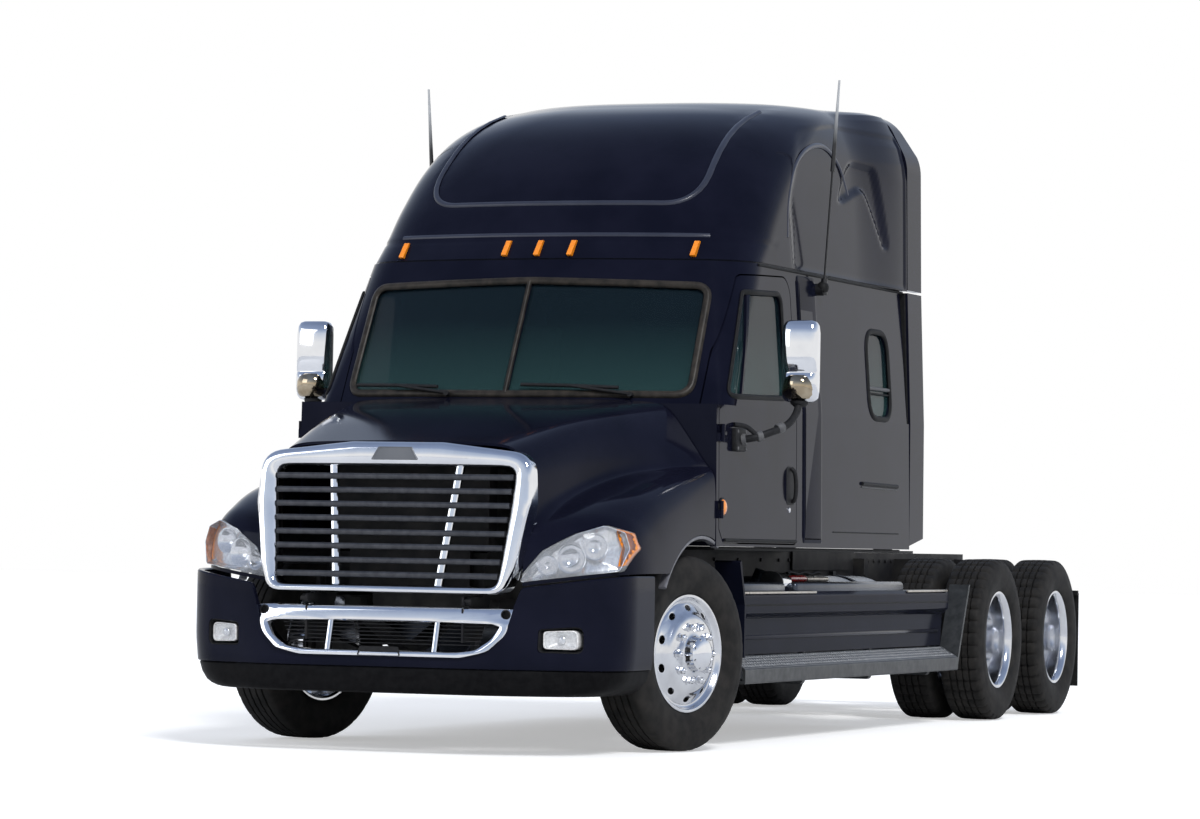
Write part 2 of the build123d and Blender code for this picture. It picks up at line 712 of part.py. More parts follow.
# Tail lamp boxes on the end of the frame
with BuildPart() as tail_lamps:
    for side in sides:
        block((side * 150, side * 420), (frame_rear + seat_gap, frame_rear + 60), (850, 950))
    fillet(tail_lamps.edges().filter_by(Axis.Y), radius=12)
save(tail_lamps, "tail_lamps")


def screen_point(x, z, stand_off):
    """A place in front of the windshield, as (x, distance aft, z)."""
    sag = screen_arc_radius - sqrt(screen_arc_radius**2 - x**2)
    return (x, screen_foot + screen_rake * (z - cowl_height) + sag - stand_off, z)


# Wipers parked along the foot of the screen
wiper_rows = [(690, 620, 90), (-330, -400, -930)]
with BuildPart() as wipers:
    for pivot_x, near_x, tip_x in wiper_rows:
        rod(screen_point(pivot_x, 1842, -10), screen_point(pivot_x, 1850, 46), 14)
        middle = (near_x + tip_x) / 2
        rod(screen_point(pivot_x, 1850, 38), screen_point(middle, 1893, 40), 9)
        rod(screen_point(near_x, 1884, 24), screen_point(middle, 1892, 24), 10)
        rod(screen_point(middle, 1892, 24), screen_point(tip_x, 1896, 24), 10)
        rod(screen_point(middle, 1892, 44), screen_point(middle, 1892, 20), 9)
    add(cab_outer, mode=Mode.SUBTRACT)
save(wipers, "wipers")

# Whip antennas on the cab corners behind the doors
antenna_y = 1960
antenna_x = 1180
antenna_tip_x = 1250
antenna_tip_z = 3670
with BuildPart() as antennas:
    for side in sides:
        rod((side * 1115, antenna_y, 2500), (side * antenna_x, antenna_y, 2500), 34)
        rod((side * antenna_x, antenna_y, 2470), (side * antenna_x, antenna_y, 2560), 18)
        rod((side * antenna_x, antenna_y, 2550), (side * antenna_tip_x, antenna_y, antenna_tip_z), 6)
    add(cab_outer, mode=Mode.SUBTRACT)
save(antennas, "antennas")


def fender_form(inset):
    """Filled form of both fenders; an inset form runs out below and behind."""
    reach = 3 * inset
    side_rows = [(fender_front - reach * 80 / 270, hood_foot - reach, 0), (-1150, 1120, 120),
                 (-900, 1215, 400), (hood_rear + reach, 1455 + reach * 240 / 1105, 0),
                 (hood_rear + reach, hood_foot - reach, 0)]
    slant = 130 / 595
    near = -1215 + inset * hypot(1, slant)
    outer_x = body_half_width - 5 - inset
    plan_rows = [(600, near, 0), (outer_x, near + slant * (outer_x - 600), 400),
                 (outer_x, hood_rear + reach + 1, 0), (600, hood_rear + reach + 1, 0)]
    if inset:
        inner_x = 735 + inset
        plan_rows[0] = (inner_x, near + slant * (inner_x - 600), 0)
        plan_rows += [(600, hood_front + inset, 0), (inner_x, hood_front + inset, 0)]
    with BuildPart() as form:
        for side in sides:
            with BuildPart(mode=Mode.PRIVATE) as fender:
                side_view(side_rows, side * 560, side * 1300, grow=-inset)
                plan_view([(side * x, y, r) for x, y, r in plan_rows], 700, 1700,
                          mode=Mode.INTERSECT)
            add(fender.part)
    return form.part


def hood_form(inset):
    """Filled form of the hood between the fenders; an inset form is open behind."""
    sections = []
    for y, shoulder, top, side_x, side_z in hood_rows:
        place = y
        if inset:
            place = hood_rear + 1 if y == hood_rear else y + (inset if y == hood_front else 0)
        with BuildSketch(Plane.XZ.offset(-aft(place))) as section:
            closed_outline(both_sides([
                (side_x - inset, hood_foot - 2 * inset, 0),
                (side_x - inset, side_z - 0.4 * inset, 60),
                (shoulder - 0.4 * inset, top - inset, 100),
            ]))
        sections.append(section.sketch)
    with BuildPart() as form:
        loft(sections, ruled=True)
    return form.part


# Hood sections, rows of (distance aft, shoulder x, top z, side x, side z)
hood_foot = 850
hood_rows = [(hood_front, 600, 1545, 705, 1430), (-500, 725, 1705, 830, 1480),
             (hood_rear, 860, 1812, 1195, 1450)]
grille_opening_rows = both_sides([(590, 890, 30), (600, 1200, 0), (560, 1430, 60)])
surround_rows = both_sides([(640, 800, 90), (690, 930, 0), (745, 1250, 0), (735, 1500, 120),
                            (250, 1554, 0)])
surround_opening_rows = both_sides([(597, 840, 45), (632, 1200, 0), (650, 1430, 55)])
headlamp_rows = [(655, 858, 15), (780, 1020, 60), (930, 1110, 80), (1060, 1155, 40),
                 (1150, 1120, 25), (1175, 1040, 30), (1140, 922, 25)]
liner_inner_x = 600
liner_outer_x = body_half_width - 10
fender_outer = fender_form(0)

with BuildPart() as hood_shell:
    add(hood_form(0))
    add(fender_outer)
    add(hood_form(hood_wall), mode=Mode.SUBTRACT)
    add(fender_form(hood_wall), mode=Mode.SUBTRACT)
    front_view(grille_opening_rows, hood_front - 5, hood_front + hood_wall + 5, mode=Mode.SUBTRACT)
    front_view(surround_rows, -1380, hood_front - seat_gap, mode=Mode.SUBTRACT, grow=4)
    for side in sides:
        front_view([(side * x, z, r) for x, z, r in headlamp_rows], -1320, -750,
                   mode=Mode.SUBTRACT, grow=seat_gap)
        outer_x = side * (body_half_width + 100)
        front_view([(side * 600, 780, 0), (side * 600, 831, 0), (outer_x, 930, 0),
                    (outer_x, 780, 0)], -1320, -400, mode=Mode.SUBTRACT)
        rod((side * 560, arch_centre, arch_height), (side * 1300, arch_centre, arch_height),
            arch_radius, mode=Mode.SUBTRACT)
    add(greenhouse_form(-panel_gap, extra=40), mode=Mode.SUBTRACT)
    for side in sides:
        near = side * (rail_outer_x + 6)
        far = side * (rail_outer_x + 28)
        side_view([(hood_hinge_y, hood_hinge_z - 21, 0), (-1105, hood_hinge_z - 21, 20),
                   (hood_front + hood_wall - 4, 888, 0), (hood_front + 2, 888, 0),
                   (hood_front + 2, hood_hinge_z + 21, 8), (hood_hinge_y, hood_hinge_z + 21, 0)],
                  near, far)
        rod((near, hood_hinge_y, hood_hinge_z), (far, hood_hinge_y, hood_hinge_z), 22)
        rod((near - side, hood_hinge_y, hood_hinge_z), (far + side, hood_hinge_y, hood_hinge_z),
            hood_hinge_radius + seat_gap, mode=Mode.SUBTRACT)
save(hood_shell, "hood_shell")

# Arch liners close the wheel wells from above
with BuildPart() as wheel_liners:
    for side in sides:
        with BuildPart(mode=Mode.PRIVATE) as liner:
            rod((side * liner_inner_x, arch_centre, arch_height),
                (side * liner_outer_x, arch_centre, arch_height), arch_radius - seat_gap)
            rod((side * (liner_inner_x - 1), arch_centre, arch_height),
                (side * (liner_outer_x + 1), arch_centre, arch_height),
                arch_radius - seat_gap - liner_thickness, mode=Mode.SUBTRACT)
            block((side * 500, side * 1300), (-700, hood_rear), (930, 1200), mode=Mode.INTERSECT)
        add(liner.part)
save(wheel_liners, "wheel_liners")

# Chrome grille surround with its two upright bars, leaning back a little
surround_slope = radians(surround_lean)
surround_back = hood_front - seat_gap


def lean_y(z, behind=0):
    """Distance aft of the surround's leaning face at one height."""
    return surround_foot_y + (z - surround_foot_z) * sin(surround_slope) / cos(surround_slope) + behind


bar_rows = [(259, 830, 0), (295, 830, 0), (365, 1445, 0), (329, 1445, 0)]
with BuildPart() as grille_surround:
    front_view(surround_rows, -1380, surround_back)
    front_view(surround_opening_rows, -1390, surround_back + 10, mode=Mode.SUBTRACT)
    for side in sides:
        front_view([(side * x, z, r) for x, z, r in bar_rows], -1160, surround_back)
    side_view([(-1400, 700, 0), (lean_y(700), 700, 0), (lean_y(1600), 1600, 0), (-1400, 1600, 0)],
              -800, 800, mode=Mode.SUBTRACT)
save(grille_surround, "grille_surround")

# Horizontal slats across the opening, in front of the upright bars
slat_count = 8
slat_foot = 882
slat_pitch = 70
slat_thickness = 15
slat_tilt = 10
with BuildPart() as grille_slats:
    for index in range(slat_count):
        z = slat_foot + index * slat_pitch
        side_view([(lean_y(z, 12), z, 0), (lean_y(z, 12), z + slat_thickness, 5),
                   (-1160 - seat_gap, z + slat_thickness + slat_tilt, 0),
                   (-1160 - seat_gap, z + slat_tilt, 0)], -700, 700)
    front_view(surround_opening_rows, -1330, -1100, mode=Mode.INTERSECT, grow=-seat_gap)
save(grille_slats, "grille_slats")

# Headlamps wrapped into the fender skins
lamp_depth = 70
with BuildPart() as headlamps:
    for side in sides:
        with BuildPart(mode=Mode.PRIVATE) as lamp:
            front_view([(side * x, z, r) for x, z, r in headlamp_rows], -1320, -750)
            add(fender_outer, mode=Mode.INTERSECT)
            add(fender_form(lamp_depth), mode=Mode.SUBTRACT)
            front_view(surround_rows, -1380, hood_front - seat_gap, mode=Mode.SUBTRACT, grow=5)
        add(lamp.part)
save(headlamps, "headlamps")

# Doors with their vent dividers, each with glass and a mirror on a bent arm
mirror_x = 1425
mirror_y = 860
mirror_half_width = 100
mirror_foot = 1830
mirror_top = 2270
mirror_depth = 110
mirror_split = 1985
arm_radius = 20
arm_points = [(1190, 520, 1620), (1300, 560, 1640), (1400, 700, 1700), (mirror_x, 850, 1850)]
for side in sides:
    name = side_names[side]
    with BuildPart() as divider:
        side_view(divider_rows, side * door_reach, side * (body_half_width + 60))
        side_view(door_window_rows, side * door_reach, side * (body_half_width + 60),
                  mode=Mode.INTERSECT, grow=2)
        add(cab_outer, mode=Mode.INTERSECT)
        add(door_inner, mode=Mode.SUBTRACT)
    with BuildPart() as door:
        side_view(door_rows, side * door_reach, side * (body_half_width + 60))
        add(cab_outer, mode=Mode.INTERSECT)
        add(door_inner, mode=Mode.SUBTRACT)
        side_view(door_window_rows, side * 1000, side * 1300, mode=Mode.SUBTRACT)
        add(divider.part)
        for height in hinge_heights:
            top = height + seat_gap + barrel_height
            rod((side * door_hinge_x, door_hinge_y, height + seat_gap),
                (side * door_hinge_x, door_hinge_y, top), barrel_radius)
            block((side * 1180, side * (door_hinge_x - 4)), (door_hinge_y + 2, 300),
                  (height + seat_gap, top))
    save(door, f"door_{name}")
    with BuildPart() as door_glass:
        side_view(door_window_rows, side * 1000, side * 1300, grow=-seat_gap)
        add(pane_outer, mode=Mode.INTERSECT)
        add(pane_inner, mode=Mode.SUBTRACT)
        add(divider.part, mode=Mode.SUBTRACT)
    save(door_glass, f"door_glass_{name}")
    with BuildPart() as mirror:
        for start, end in zip(arm_points, arm_points[1:]):
            rod((side * start[0], start[1], start[2]), (side * end[0], end[1], end[2]), arm_radius)
        for x, y, z in arm_points[1:]:
            with Locations((side * x, aft(y), z)):
                Sphere(arm_radius)
        block((side * 1180, side * 1212), (450, 600), (1560, 1680))
        front_view([(side * mirror_x - mirror_half_width, mirror_foot, 45),
                    (side * mirror_x + mirror_half_width, mirror_foot, 45),
                    (side * mirror_x + mirror_half_width, mirror_top, 45),
                    (side * mirror_x - mirror_half_width, mirror_top, 45)],
                   mirror_y - mirror_depth / 2, mirror_y + mirror_depth / 2)
        add(cab_outer, mode=Mode.SUBTRACT)
    save(mirror, f"mirror_{name}")
    with BuildPart() as mirror_glass:
        for foot, top in ((mirror_foot + 15, mirror_split - 5), (mirror_split + 5, mirror_top - 15)):
            front_view([(side * mirror_x - 85, foot, 30), (side * mirror_x + 85, foot, 30),
                        (side * mirror_x + 85, top, 30), (side * mirror_x - 85, top, 30)],
                       mirror_y + mirror_depth / 2 + seat_gap, mirror_y + mirror_depth / 2 + 6)
    save(mirror_glass, f"mirror_glass_{name}")


def steer_frame(side):
    """Centre plane of one steered wheel's knuckle: x outward, y along the truck."""
    angle = radians(steer_angle)
    outward = Vector(side * cos(angle), side * sin(angle), 0)
    return Plane(origin=(side * kingpin_x, front_axle_y, 0), x_dir=outward, z_dir=(0, 0, 1))


# Steering knuckles: two ears round the kingpin, an upright plate, spindle and track arm
ear_radius = 48
ear_foot = 390
ear_top = 620
plate_reach = (52, 75)
spindle_end = 227
arm_foot = 395
arm_top = 425
tie_rod_height = 372
for side in sides:
    frame = steer_frame(side)
    rear = side
    with BuildPart() as knuckle:
        for foot, top in ((ear_foot, axle_height - boss_half_height - seat_gap),
                          (axle_height + boss_half_height + seat_gap, ear_top)):
            with BuildSketch(frame.offset(foot)):
                Circle(ear_radius)
                with Locations((plate_reach[1] / 2, 0)):
                    Rectangle(plate_reach[1], 90)
            extrude(amount=top - foot)
        with BuildSketch(frame.offset(ear_foot)):
            with Locations((sum(plate_reach) / 2, 0)):
                Rectangle(plate_reach[1] - plate_reach[0], 90)
        extrude(amount=ear_top - ear_foot)
        with BuildSketch(frame.offset(arm_foot)):
            with Locations((0, rear * 115)):
                Rectangle(2 * arm_half_width, 170)
        extrude(amount=arm_top - arm_foot)
        with BuildSketch(frame.offset(tie_rod_height - 7)):
            with Locations((0, rear * arm_length)):
                Circle(stud_radius)
        extrude(amount=arm_top - tie_rod_height + 7)
        with BuildSketch(frame.offset(ear_foot - 5)):
            Circle(kingpin_radius + seat_gap)
        extrude(amount=ear_top - ear_foot + 10, mode=Mode.SUBTRACT)
        outward = frame.x_dir
        start = frame.origin + outward * plate_reach[1] + Vector(0, 0, axle_height)
        with BuildSketch(Plane(origin=start, z_dir=outward)) as spindle:
            Circle(spindle_radius)
        extrude(spindle.sketch, amount=spindle_end - plate_reach[1])
    save(knuckle, f"knuckle_{side_names[side]}")

# Tie rod between the two track arms
stud_places = [frame.origin + frame.y_dir * side * arm_length
               for side, frame in ((side, steer_frame(side)) for side in sides)]
with BuildPart() as tie_rod:
    near, far = stud_places
    with BuildSketch(Plane(origin=near + Vector(0, 0, tie_rod_height), z_dir=far - near)):
        Circle(tie_rod_radius)
    extrude(amount=(far - near).length)
    for place in stud_places:
        with BuildSketch(Plane.XY.offset(tie_rod_height - 10)) as ring:
            with Locations((place.X, place.Y)):
                Circle(26)
        extrude(ring.sketch, amount=20)
    for place in stud_places:
        with BuildSketch(Plane.XY.offset(tie_rod_height - 20)) as bore:
            with Locations((place.X, place.Y)):
                Circle(stud_radius + seat_gap)
        extrude(bore.sketch, amount=40, mode=Mode.SUBTRACT)
save(tie_rod, "tie_rod")

# Wheels, rows of (outboard of the datum, radius)
steer_rim_rows = [(-118, 304), (-105, 304), (-105, 286), (105, 286), (105, 304), (118, 304),
                  (118, 290), (96, 264), (118, 235), (146, 185), (150, 90), (205, 86), (222, 60),
                  (224, 0), (116, 0), (116, 38.3), (-35, 38.3), (-35, 80), (112, 80), (112, 190),
                  (-60, 190), (-60, 208), (104, 208), (78, 256), (-118, 272)]
drive_rim_rows = [(49.5, 304), (62.5, 304), (62.5, 286), (272.5, 286), (272.5, 304),
                  (285.5, 304), (285.5, 290), (262, 266), (75, 258), (24, 212), (24, 98), (150, 90),
                  (165, 0), (110, 0), (110, 50.3), (-215, 50.3), (-215, 208), (-24, 208),
                  (-75, 258), (-262, 266), (-285.5, 290), (-285.5, 304), (-272.5, 304),
                  (-272.5, 286), (-62.5, 286), (-62.5, 304), (-49.5, 304), (-49.5, 275),
                  (-14, 232), (14, 232), (49.5, 275)]
tyre_rows = [(-104.7, 286.3), (-104.7, 304.3), (-132, 330), (-142.5, 395), (-132, 465), (-105, 505),
             (105, 505), (132, 465), (142.5, 395), (132, 330), (104.7, 304.3), (104.7, 286.3)]


def wheel_solid(rows, origin, outward, shift=0):
    """Solid of revolution about a wheel's axis from rows of (outboard, radius)."""
    across = Vector(outward).cross(Vector(0, 0, 1))
    with BuildSketch(Plane(origin=origin, x_dir=outward, z_dir=across)) as section:
        with BuildLine() as line:
            Polyline(*[(u + shift, r) for u, r in rows], close=True)
        make_face(line.edges())
    revolve(section.sketch, axis=Axis(origin, outward))


def wheel_holes(origin, outward, reach):
    """Round hand holes through a wheel's disc."""
    for index in range(hand_holes):
        turn = radians((index + 0.5) * 360 / hand_holes)
        across = Vector(outward).cross(Vector(0, 0, 1))
        centre = (Vector(origin) + across * hand_hole_circle * cos(turn)
                  + Vector(0, 0, hand_hole_circle * sin(turn)))
        with BuildSketch(Plane(origin=centre + Vector(outward) * reach[0],
                               z_dir=outward)) as hole:
            Circle(hand_hole_radius)
        extrude(hole.sketch, amount=reach[1] - reach[0], mode=Mode.SUBTRACT)


for side in sides:
    name = side_names[side]
    frame = steer_frame(side)
    outward = frame.x_dir
    centre = frame.origin + outward * steer_tyre_offset + Vector(0, 0, axle_height)
    with BuildPart() as steer_rim:
        wheel_solid(steer_rim_rows, centre, outward)
        wheel_holes(centre, outward, (60, 160))
    save(steer_rim, f"steer_rim_{name}")
    with BuildPart() as steer_tyre:
        wheel_solid(tyre_rows, centre, outward)
    save(steer_tyre, f"steer_tyre_{name}")
    for axle_name, place in drive_axle_places.items():
        centre = Vector(side * mount_face_x, aft(place), axle_height)
        outward = Vector(side, 0, 0)
        with BuildPart() as drive_rim:
            wheel_solid(drive_rim_rows, centre, outward)
            wheel_holes(centre, outward, (-80, 80))
        save(drive_rim, f"drive_rim_{axle_name}_{name}")
        with BuildPart() as drive_tyres:
            for shift in (-dual_spacing / 2, dual_spacing / 2):
                wheel_solid(tyre_rows, centre, outward, shift)
        save(drive_tyres, f"drive_tyres_{axle_name}_{name}")
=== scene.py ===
"""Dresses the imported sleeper-cab tractor: camera, light, materials and fine pieces."""
import json
import math

import bmesh
import bpy
from mathutils import Matrix, Vector


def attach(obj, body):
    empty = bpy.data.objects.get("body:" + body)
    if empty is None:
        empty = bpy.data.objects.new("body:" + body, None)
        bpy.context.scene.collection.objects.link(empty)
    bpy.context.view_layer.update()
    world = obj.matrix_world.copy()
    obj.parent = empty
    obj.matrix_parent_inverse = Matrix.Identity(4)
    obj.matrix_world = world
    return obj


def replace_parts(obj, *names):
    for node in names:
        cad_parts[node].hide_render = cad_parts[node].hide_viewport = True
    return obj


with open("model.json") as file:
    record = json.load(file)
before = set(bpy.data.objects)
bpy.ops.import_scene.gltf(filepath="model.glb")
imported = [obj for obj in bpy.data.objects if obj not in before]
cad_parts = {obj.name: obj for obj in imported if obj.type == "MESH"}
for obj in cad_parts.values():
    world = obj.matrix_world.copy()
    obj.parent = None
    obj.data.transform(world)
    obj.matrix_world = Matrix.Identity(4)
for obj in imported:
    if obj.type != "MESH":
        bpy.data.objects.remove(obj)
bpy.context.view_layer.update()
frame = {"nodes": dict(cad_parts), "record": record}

front_axle_y = -2.985
sides = ((1, "left"), (-1, "right"))
merge_distance = 0.00002

# Camera fitted to the photograph's tyres, cab and bumper
camera_position = (9.0412, -24.3595, 1.0507)
camera_yaw = 20.8135
camera_pitch = 1.8371
camera_roll = 1.0048
focal_pixels = 4417.66
sensor_width = 36
image_width = 1200
image_height = 819
image_centre = (652.98, 404.99)


def make_camera():
    """Camera at the photograph's viewing angle."""
    yaw = math.radians(camera_yaw)
    pitch = math.radians(camera_pitch)
    roll = math.radians(camera_roll)
    forward = Vector((-math.sin(yaw) * math.cos(pitch), math.cos(yaw) * math.cos(pitch),
                      math.sin(pitch)))
    right = Vector((math.cos(yaw), math.sin(yaw), 0))
    up = right.cross(forward)
    turned_right = math.cos(roll) * right + math.sin(roll) * up
    turned_up = -math.sin(roll) * right + math.cos(roll) * up
    data = bpy.data.cameras.new("view")
    data.sensor_width = sensor_width
    data.lens = focal_pixels / image_width * sensor_width
    data.shift_x = (image_width / 2 - image_centre[0]) / image_width
    data.shift_y = (image_centre[1] - image_height / 2) / image_width
    data.clip_end = 200
    camera = bpy.data.objects.new("view", data)
    matrix = Matrix((turned_right, turned_up, -forward)).transposed().to_4x4()
    matrix.translation = Vector(camera_position)
    camera.matrix_world = matrix
    bpy.context.scene.collection.objects.link(camera)
    bpy.context.scene.camera = camera


make_camera()
bpy.context.scene.view_settings.view_transform = "Standard"


def node_chain(material):
    """The material's node tree, its links and its main shader."""
    material.use_nodes = True
    tree = material.node_tree
    return tree, tree.links, tree.nodes["Principled BSDF"]


def ramp_between(tree, factor, low, high, start=0.35, end=0.65):
    """Colour ramp between two colours driven by a factor output."""
    ramp = tree.nodes.new("ShaderNodeValToRGB")
    ramp.color_ramp.elements[0].position = start
    ramp.color_ramp.elements[1].position = end
    ramp.color_ramp.elements[0].color = low
    ramp.color_ramp.elements[1].color = high
    tree.links.new(factor, ramp.inputs["Fac"])
    return ramp


def noise(tree, scale, detail=4.0, roughness=0.55, stretch=(1, 1, 1)):
    """Noise texture in object coordinates, in metres."""
    coordinates = tree.nodes.new("ShaderNodeTexCoord")
    mapping = tree.nodes.new("ShaderNodeMapping")
    mapping.inputs["Scale"].default_value = stretch
    texture = tree.nodes.new("ShaderNodeTexNoise")
    texture.inputs["Scale"].default_value = scale
    texture.inputs["Detail"].default_value = detail
    texture.inputs["Roughness"].default_value = roughness
    tree.links.new(coordinates.outputs["Object"], mapping.inputs["Vector"])
    tree.links.new(mapping.outputs["Vector"], texture.inputs["Vector"])
    return texture.outputs["Fac"]


def surface(name, colour, second=None, roughness=0.5, metallic=0.0, coat=0.0, coat_roughness=0.03,
            grain=40.0, bump=0.0, bump_scale=300.0, roughness_spread=0.0, stretch=(1, 1, 1),
            ior=1.5, specular=0.5, tint=(1, 1, 1)):
    """Procedural material with a mottled colour, uneven gloss and fine bump."""
    material = bpy.data.materials.new(name)
    tree, links, shader = node_chain(material)
    shader.inputs["Metallic"].default_value = metallic
    shader.inputs["Roughness"].default_value = roughness
    shader.inputs["IOR"].default_value = ior
    shader.inputs["Specular IOR Level"].default_value = specular
    shader.inputs["Specular Tint"].default_value = (*tint, 1)
    shader.inputs["Coat Weight"].default_value = coat
    shader.inputs["Coat Roughness"].default_value = coat_roughness
    mottle = noise(tree, grain, stretch=stretch)
    low = (*colour, 1)
    high = (*(second or tuple(c * 1.25 for c in colour)), 1)
    ramp = ramp_between(tree, mottle, low, high)
    links.new(ramp.outputs["Color"], shader.inputs["Base Color"])
    if roughness_spread:
        spread = tree.nodes.new("ShaderNodeMapRange")
        spread.inputs["To Min"].default_value = max(0.0, roughness - roughness_spread)
        spread.inputs["To Max"].default_value = roughness + roughness_spread
        links.new(noise(tree, grain * 0.37, stretch=stretch), spread.inputs["Value"])
        links.new(spread.outputs["Result"], shader.inputs["Roughness"])
    if bump:
        height = tree.nodes.new("ShaderNodeBump")
        height.inputs["Strength"].default_value = bump
        height.inputs["Distance"].default_value = 0.002
        links.new(noise(tree, bump_scale, stretch=stretch), height.inputs["Height"])
        links.new(height.outputs["Normal"], shader.inputs["Normal"])
    return material


def height_factor(tree, start, end):
    """Factor that rises from 0 to 1 between two heights in metres."""
    coordinates = tree.nodes.new("ShaderNodeTexCoord")
    split = tree.nodes.new("ShaderNodeSeparateXYZ")
    rise = tree.nodes.new("ShaderNodeMapRange")
    rise.inputs["From Min"].default_value = start
    rise.inputs["From Max"].default_value = end
    tree.links.new(coordinates.outputs["Object"], split.inputs["Vector"])
    tree.links.new(split.outputs["Z"], rise.inputs["Value"])
    return rise.outputs["Result"]


def clear_surface(name, colour, alpha, roughness=0.02, ior=1.45, top=None):
    """Tinted see-through glass or lens, thin enough to skip refraction."""
    material = bpy.data.materials.new(name)
    tree, links, shader = node_chain(material)
    shader.inputs["Roughness"].default_value = roughness
    shader.inputs["IOR"].default_value = ior
    shader.inputs["Alpha"].default_value = alpha
    if top:
        rise = height_factor(tree, 1.85, 2.3)
        ramp = ramp_between(tree, rise, (*colour, 1), (*top, 1), 0.05, 0.9)
    else:
        ramp = ramp_between(tree, noise(tree, 3.0), (*colour, 1), (*tuple(c * 1.1 for c in colour), 1))
    links.new(ramp.outputs["Color"], shader.inputs["Base Color"])
    return material


def graded_surface(name, low, high, start, end):
    """Smooth finish that changes colour with height."""
    material = bpy.data.materials.new(name)
    tree, links, shader = node_chain(material)
    shader.inputs["Roughness"].default_value = 0.35
    ramp = ramp_between(tree, height_factor(tree, start, end), (*low, 1), (*high, 1), 0.05, 0.9)
    links.new(ramp.outputs["Color"], shader.inputs["Base Color"])
    return material


# Navy paint; its bluish specular tint is a painted reflection of blue sky.
paint = surface("navy_paint", (0.0045, 0.005, 0.0115), (0.007, 0.0075, 0.016), roughness=0.1,
                grain=3.0, roughness_spread=0.03, ior=1.17, tint=(0.72, 0.82, 1.0))
black_plastic = surface("black_plastic", (0.012, 0.012, 0.013), (0.02, 0.02, 0.021), roughness=0.55,
                        bump=0.25, bump_scale=700, grain=60, ior=1.25)
grey_plastic = surface("grey_plastic", (0.07, 0.07, 0.075), (0.1, 0.1, 0.1), roughness=0.6, bump=0.2,
                       bump_scale=500)
rubber = surface("gasket_rubber", (0.008, 0.008, 0.008), (0.014, 0.014, 0.014), roughness=0.6,
                 bump=0.15, bump_scale=500, ior=1.25)
tyre_rubber = surface("tyre_rubber", (0.01, 0.0095, 0.009), (0.022, 0.02, 0.018), roughness=0.75,
                      grain=14, bump=0.3, bump_scale=420, roughness_spread=0.12, ior=1.3)
chrome = surface("chrome", (0.72, 0.73, 0.76), (0.8, 0.81, 0.83), roughness=0.06, metallic=1.0,
                 grain=5, roughness_spread=0.03)
alloy = surface("polished_alloy", (0.62, 0.63, 0.66), (0.74, 0.75, 0.77), roughness=0.14,
                metallic=1.0, grain=9, roughness_spread=0.06)
steel_black = surface("frame_black", (0.012, 0.012, 0.014), (0.028, 0.027, 0.026), roughness=0.5,
                      grain=8, bump=0.2, bump_scale=160, roughness_spread=0.15, ior=1.2)
cast_iron = surface("cast_iron", (0.02, 0.02, 0.021), (0.05, 0.047, 0.044), roughness=0.7, grain=12,
                    bump=0.5, bump_scale=180, roughness_spread=0.15)
tank_paint = surface("tank_paint", (0.03, 0.036, 0.05), (0.05, 0.058, 0.075), roughness=0.25,
                     metallic=0.7, grain=6, roughness_spread=0.1)
tread_metal = surface("tread_metal", (0.16, 0.165, 0.17), (0.24, 0.245, 0.25), roughness=0.42,
                      metallic=0.8, grain=30, roughness_spread=0.12, bump=0.2, bump_scale=260)
cabin_plastic = surface("cabin_plastic", (0.03, 0.03, 0.032), (0.045, 0.045, 0.047), roughness=0.6,
                        bump=0.2, bump_scale=900)
seat_fabric = surface("seat_fabric", (0.025, 0.026, 0.03), (0.05, 0.052, 0.058), roughness=0.9,
                      grain=500, bump=0.6, bump_scale=1600)
screen_glass = clear_surface("screen_glass", (0.02, 0.05, 0.05), 0.7, ior=1.25,
                             top=(0.006, 0.013, 0.018))
lamp_glass = clear_surface("lamp_glass", (0.7, 0.72, 0.75), 0.16)
amber = surface("amber_lens", (0.85, 0.22, 0.0), (0.95, 0.3, 0.01), roughness=0.2, coat=0.6, grain=90)
red_lens = surface("red_lens", (0.3, 0.005, 0.004), (0.42, 0.01, 0.008), roughness=0.2, coat=0.6,
                   grain=90)
mirror_silver = surface("mirror_silver", (0.75, 0.79, 0.82), (0.78, 0.82, 0.84), roughness=0.02,
                        metallic=1.0, grain=2)
slot_materials = {
    "body_paint": paint, "dark_trim": black_plastic, "grey_trim": grey_plastic, "chrome": chrome,
    "glass": screen_glass, "lamp_clear": lamp_glass, "lamp_amber": amber, "lamp_red": red_lens,
    "mirror_glass": mirror_silver, "chassis_black": steel_black, "cast": cast_iron, "alloy": alloy,
    "tank_alloy": tank_paint, "tread_alloy": tread_metal, "tyre": tyre_rubber, "rubber": rubber,
    "cabin_plastic": cabin_plastic, "cabin_fabric": seat_fabric,
}
node_slots = {entry["node"]: entry["material_slot"] for entry in frame["record"]["subparts"]}


def dress(name, material):
    """Give every material slot of a CAD node one material."""
    for slot in frame["nodes"][name].material_slots:
        slot.material = material


def dress_nodes():
    """Give every CAD node the material of its slot."""
    for name in frame["nodes"]:
        dress(name, slot_materials[node_slots[name]])


dress_nodes()

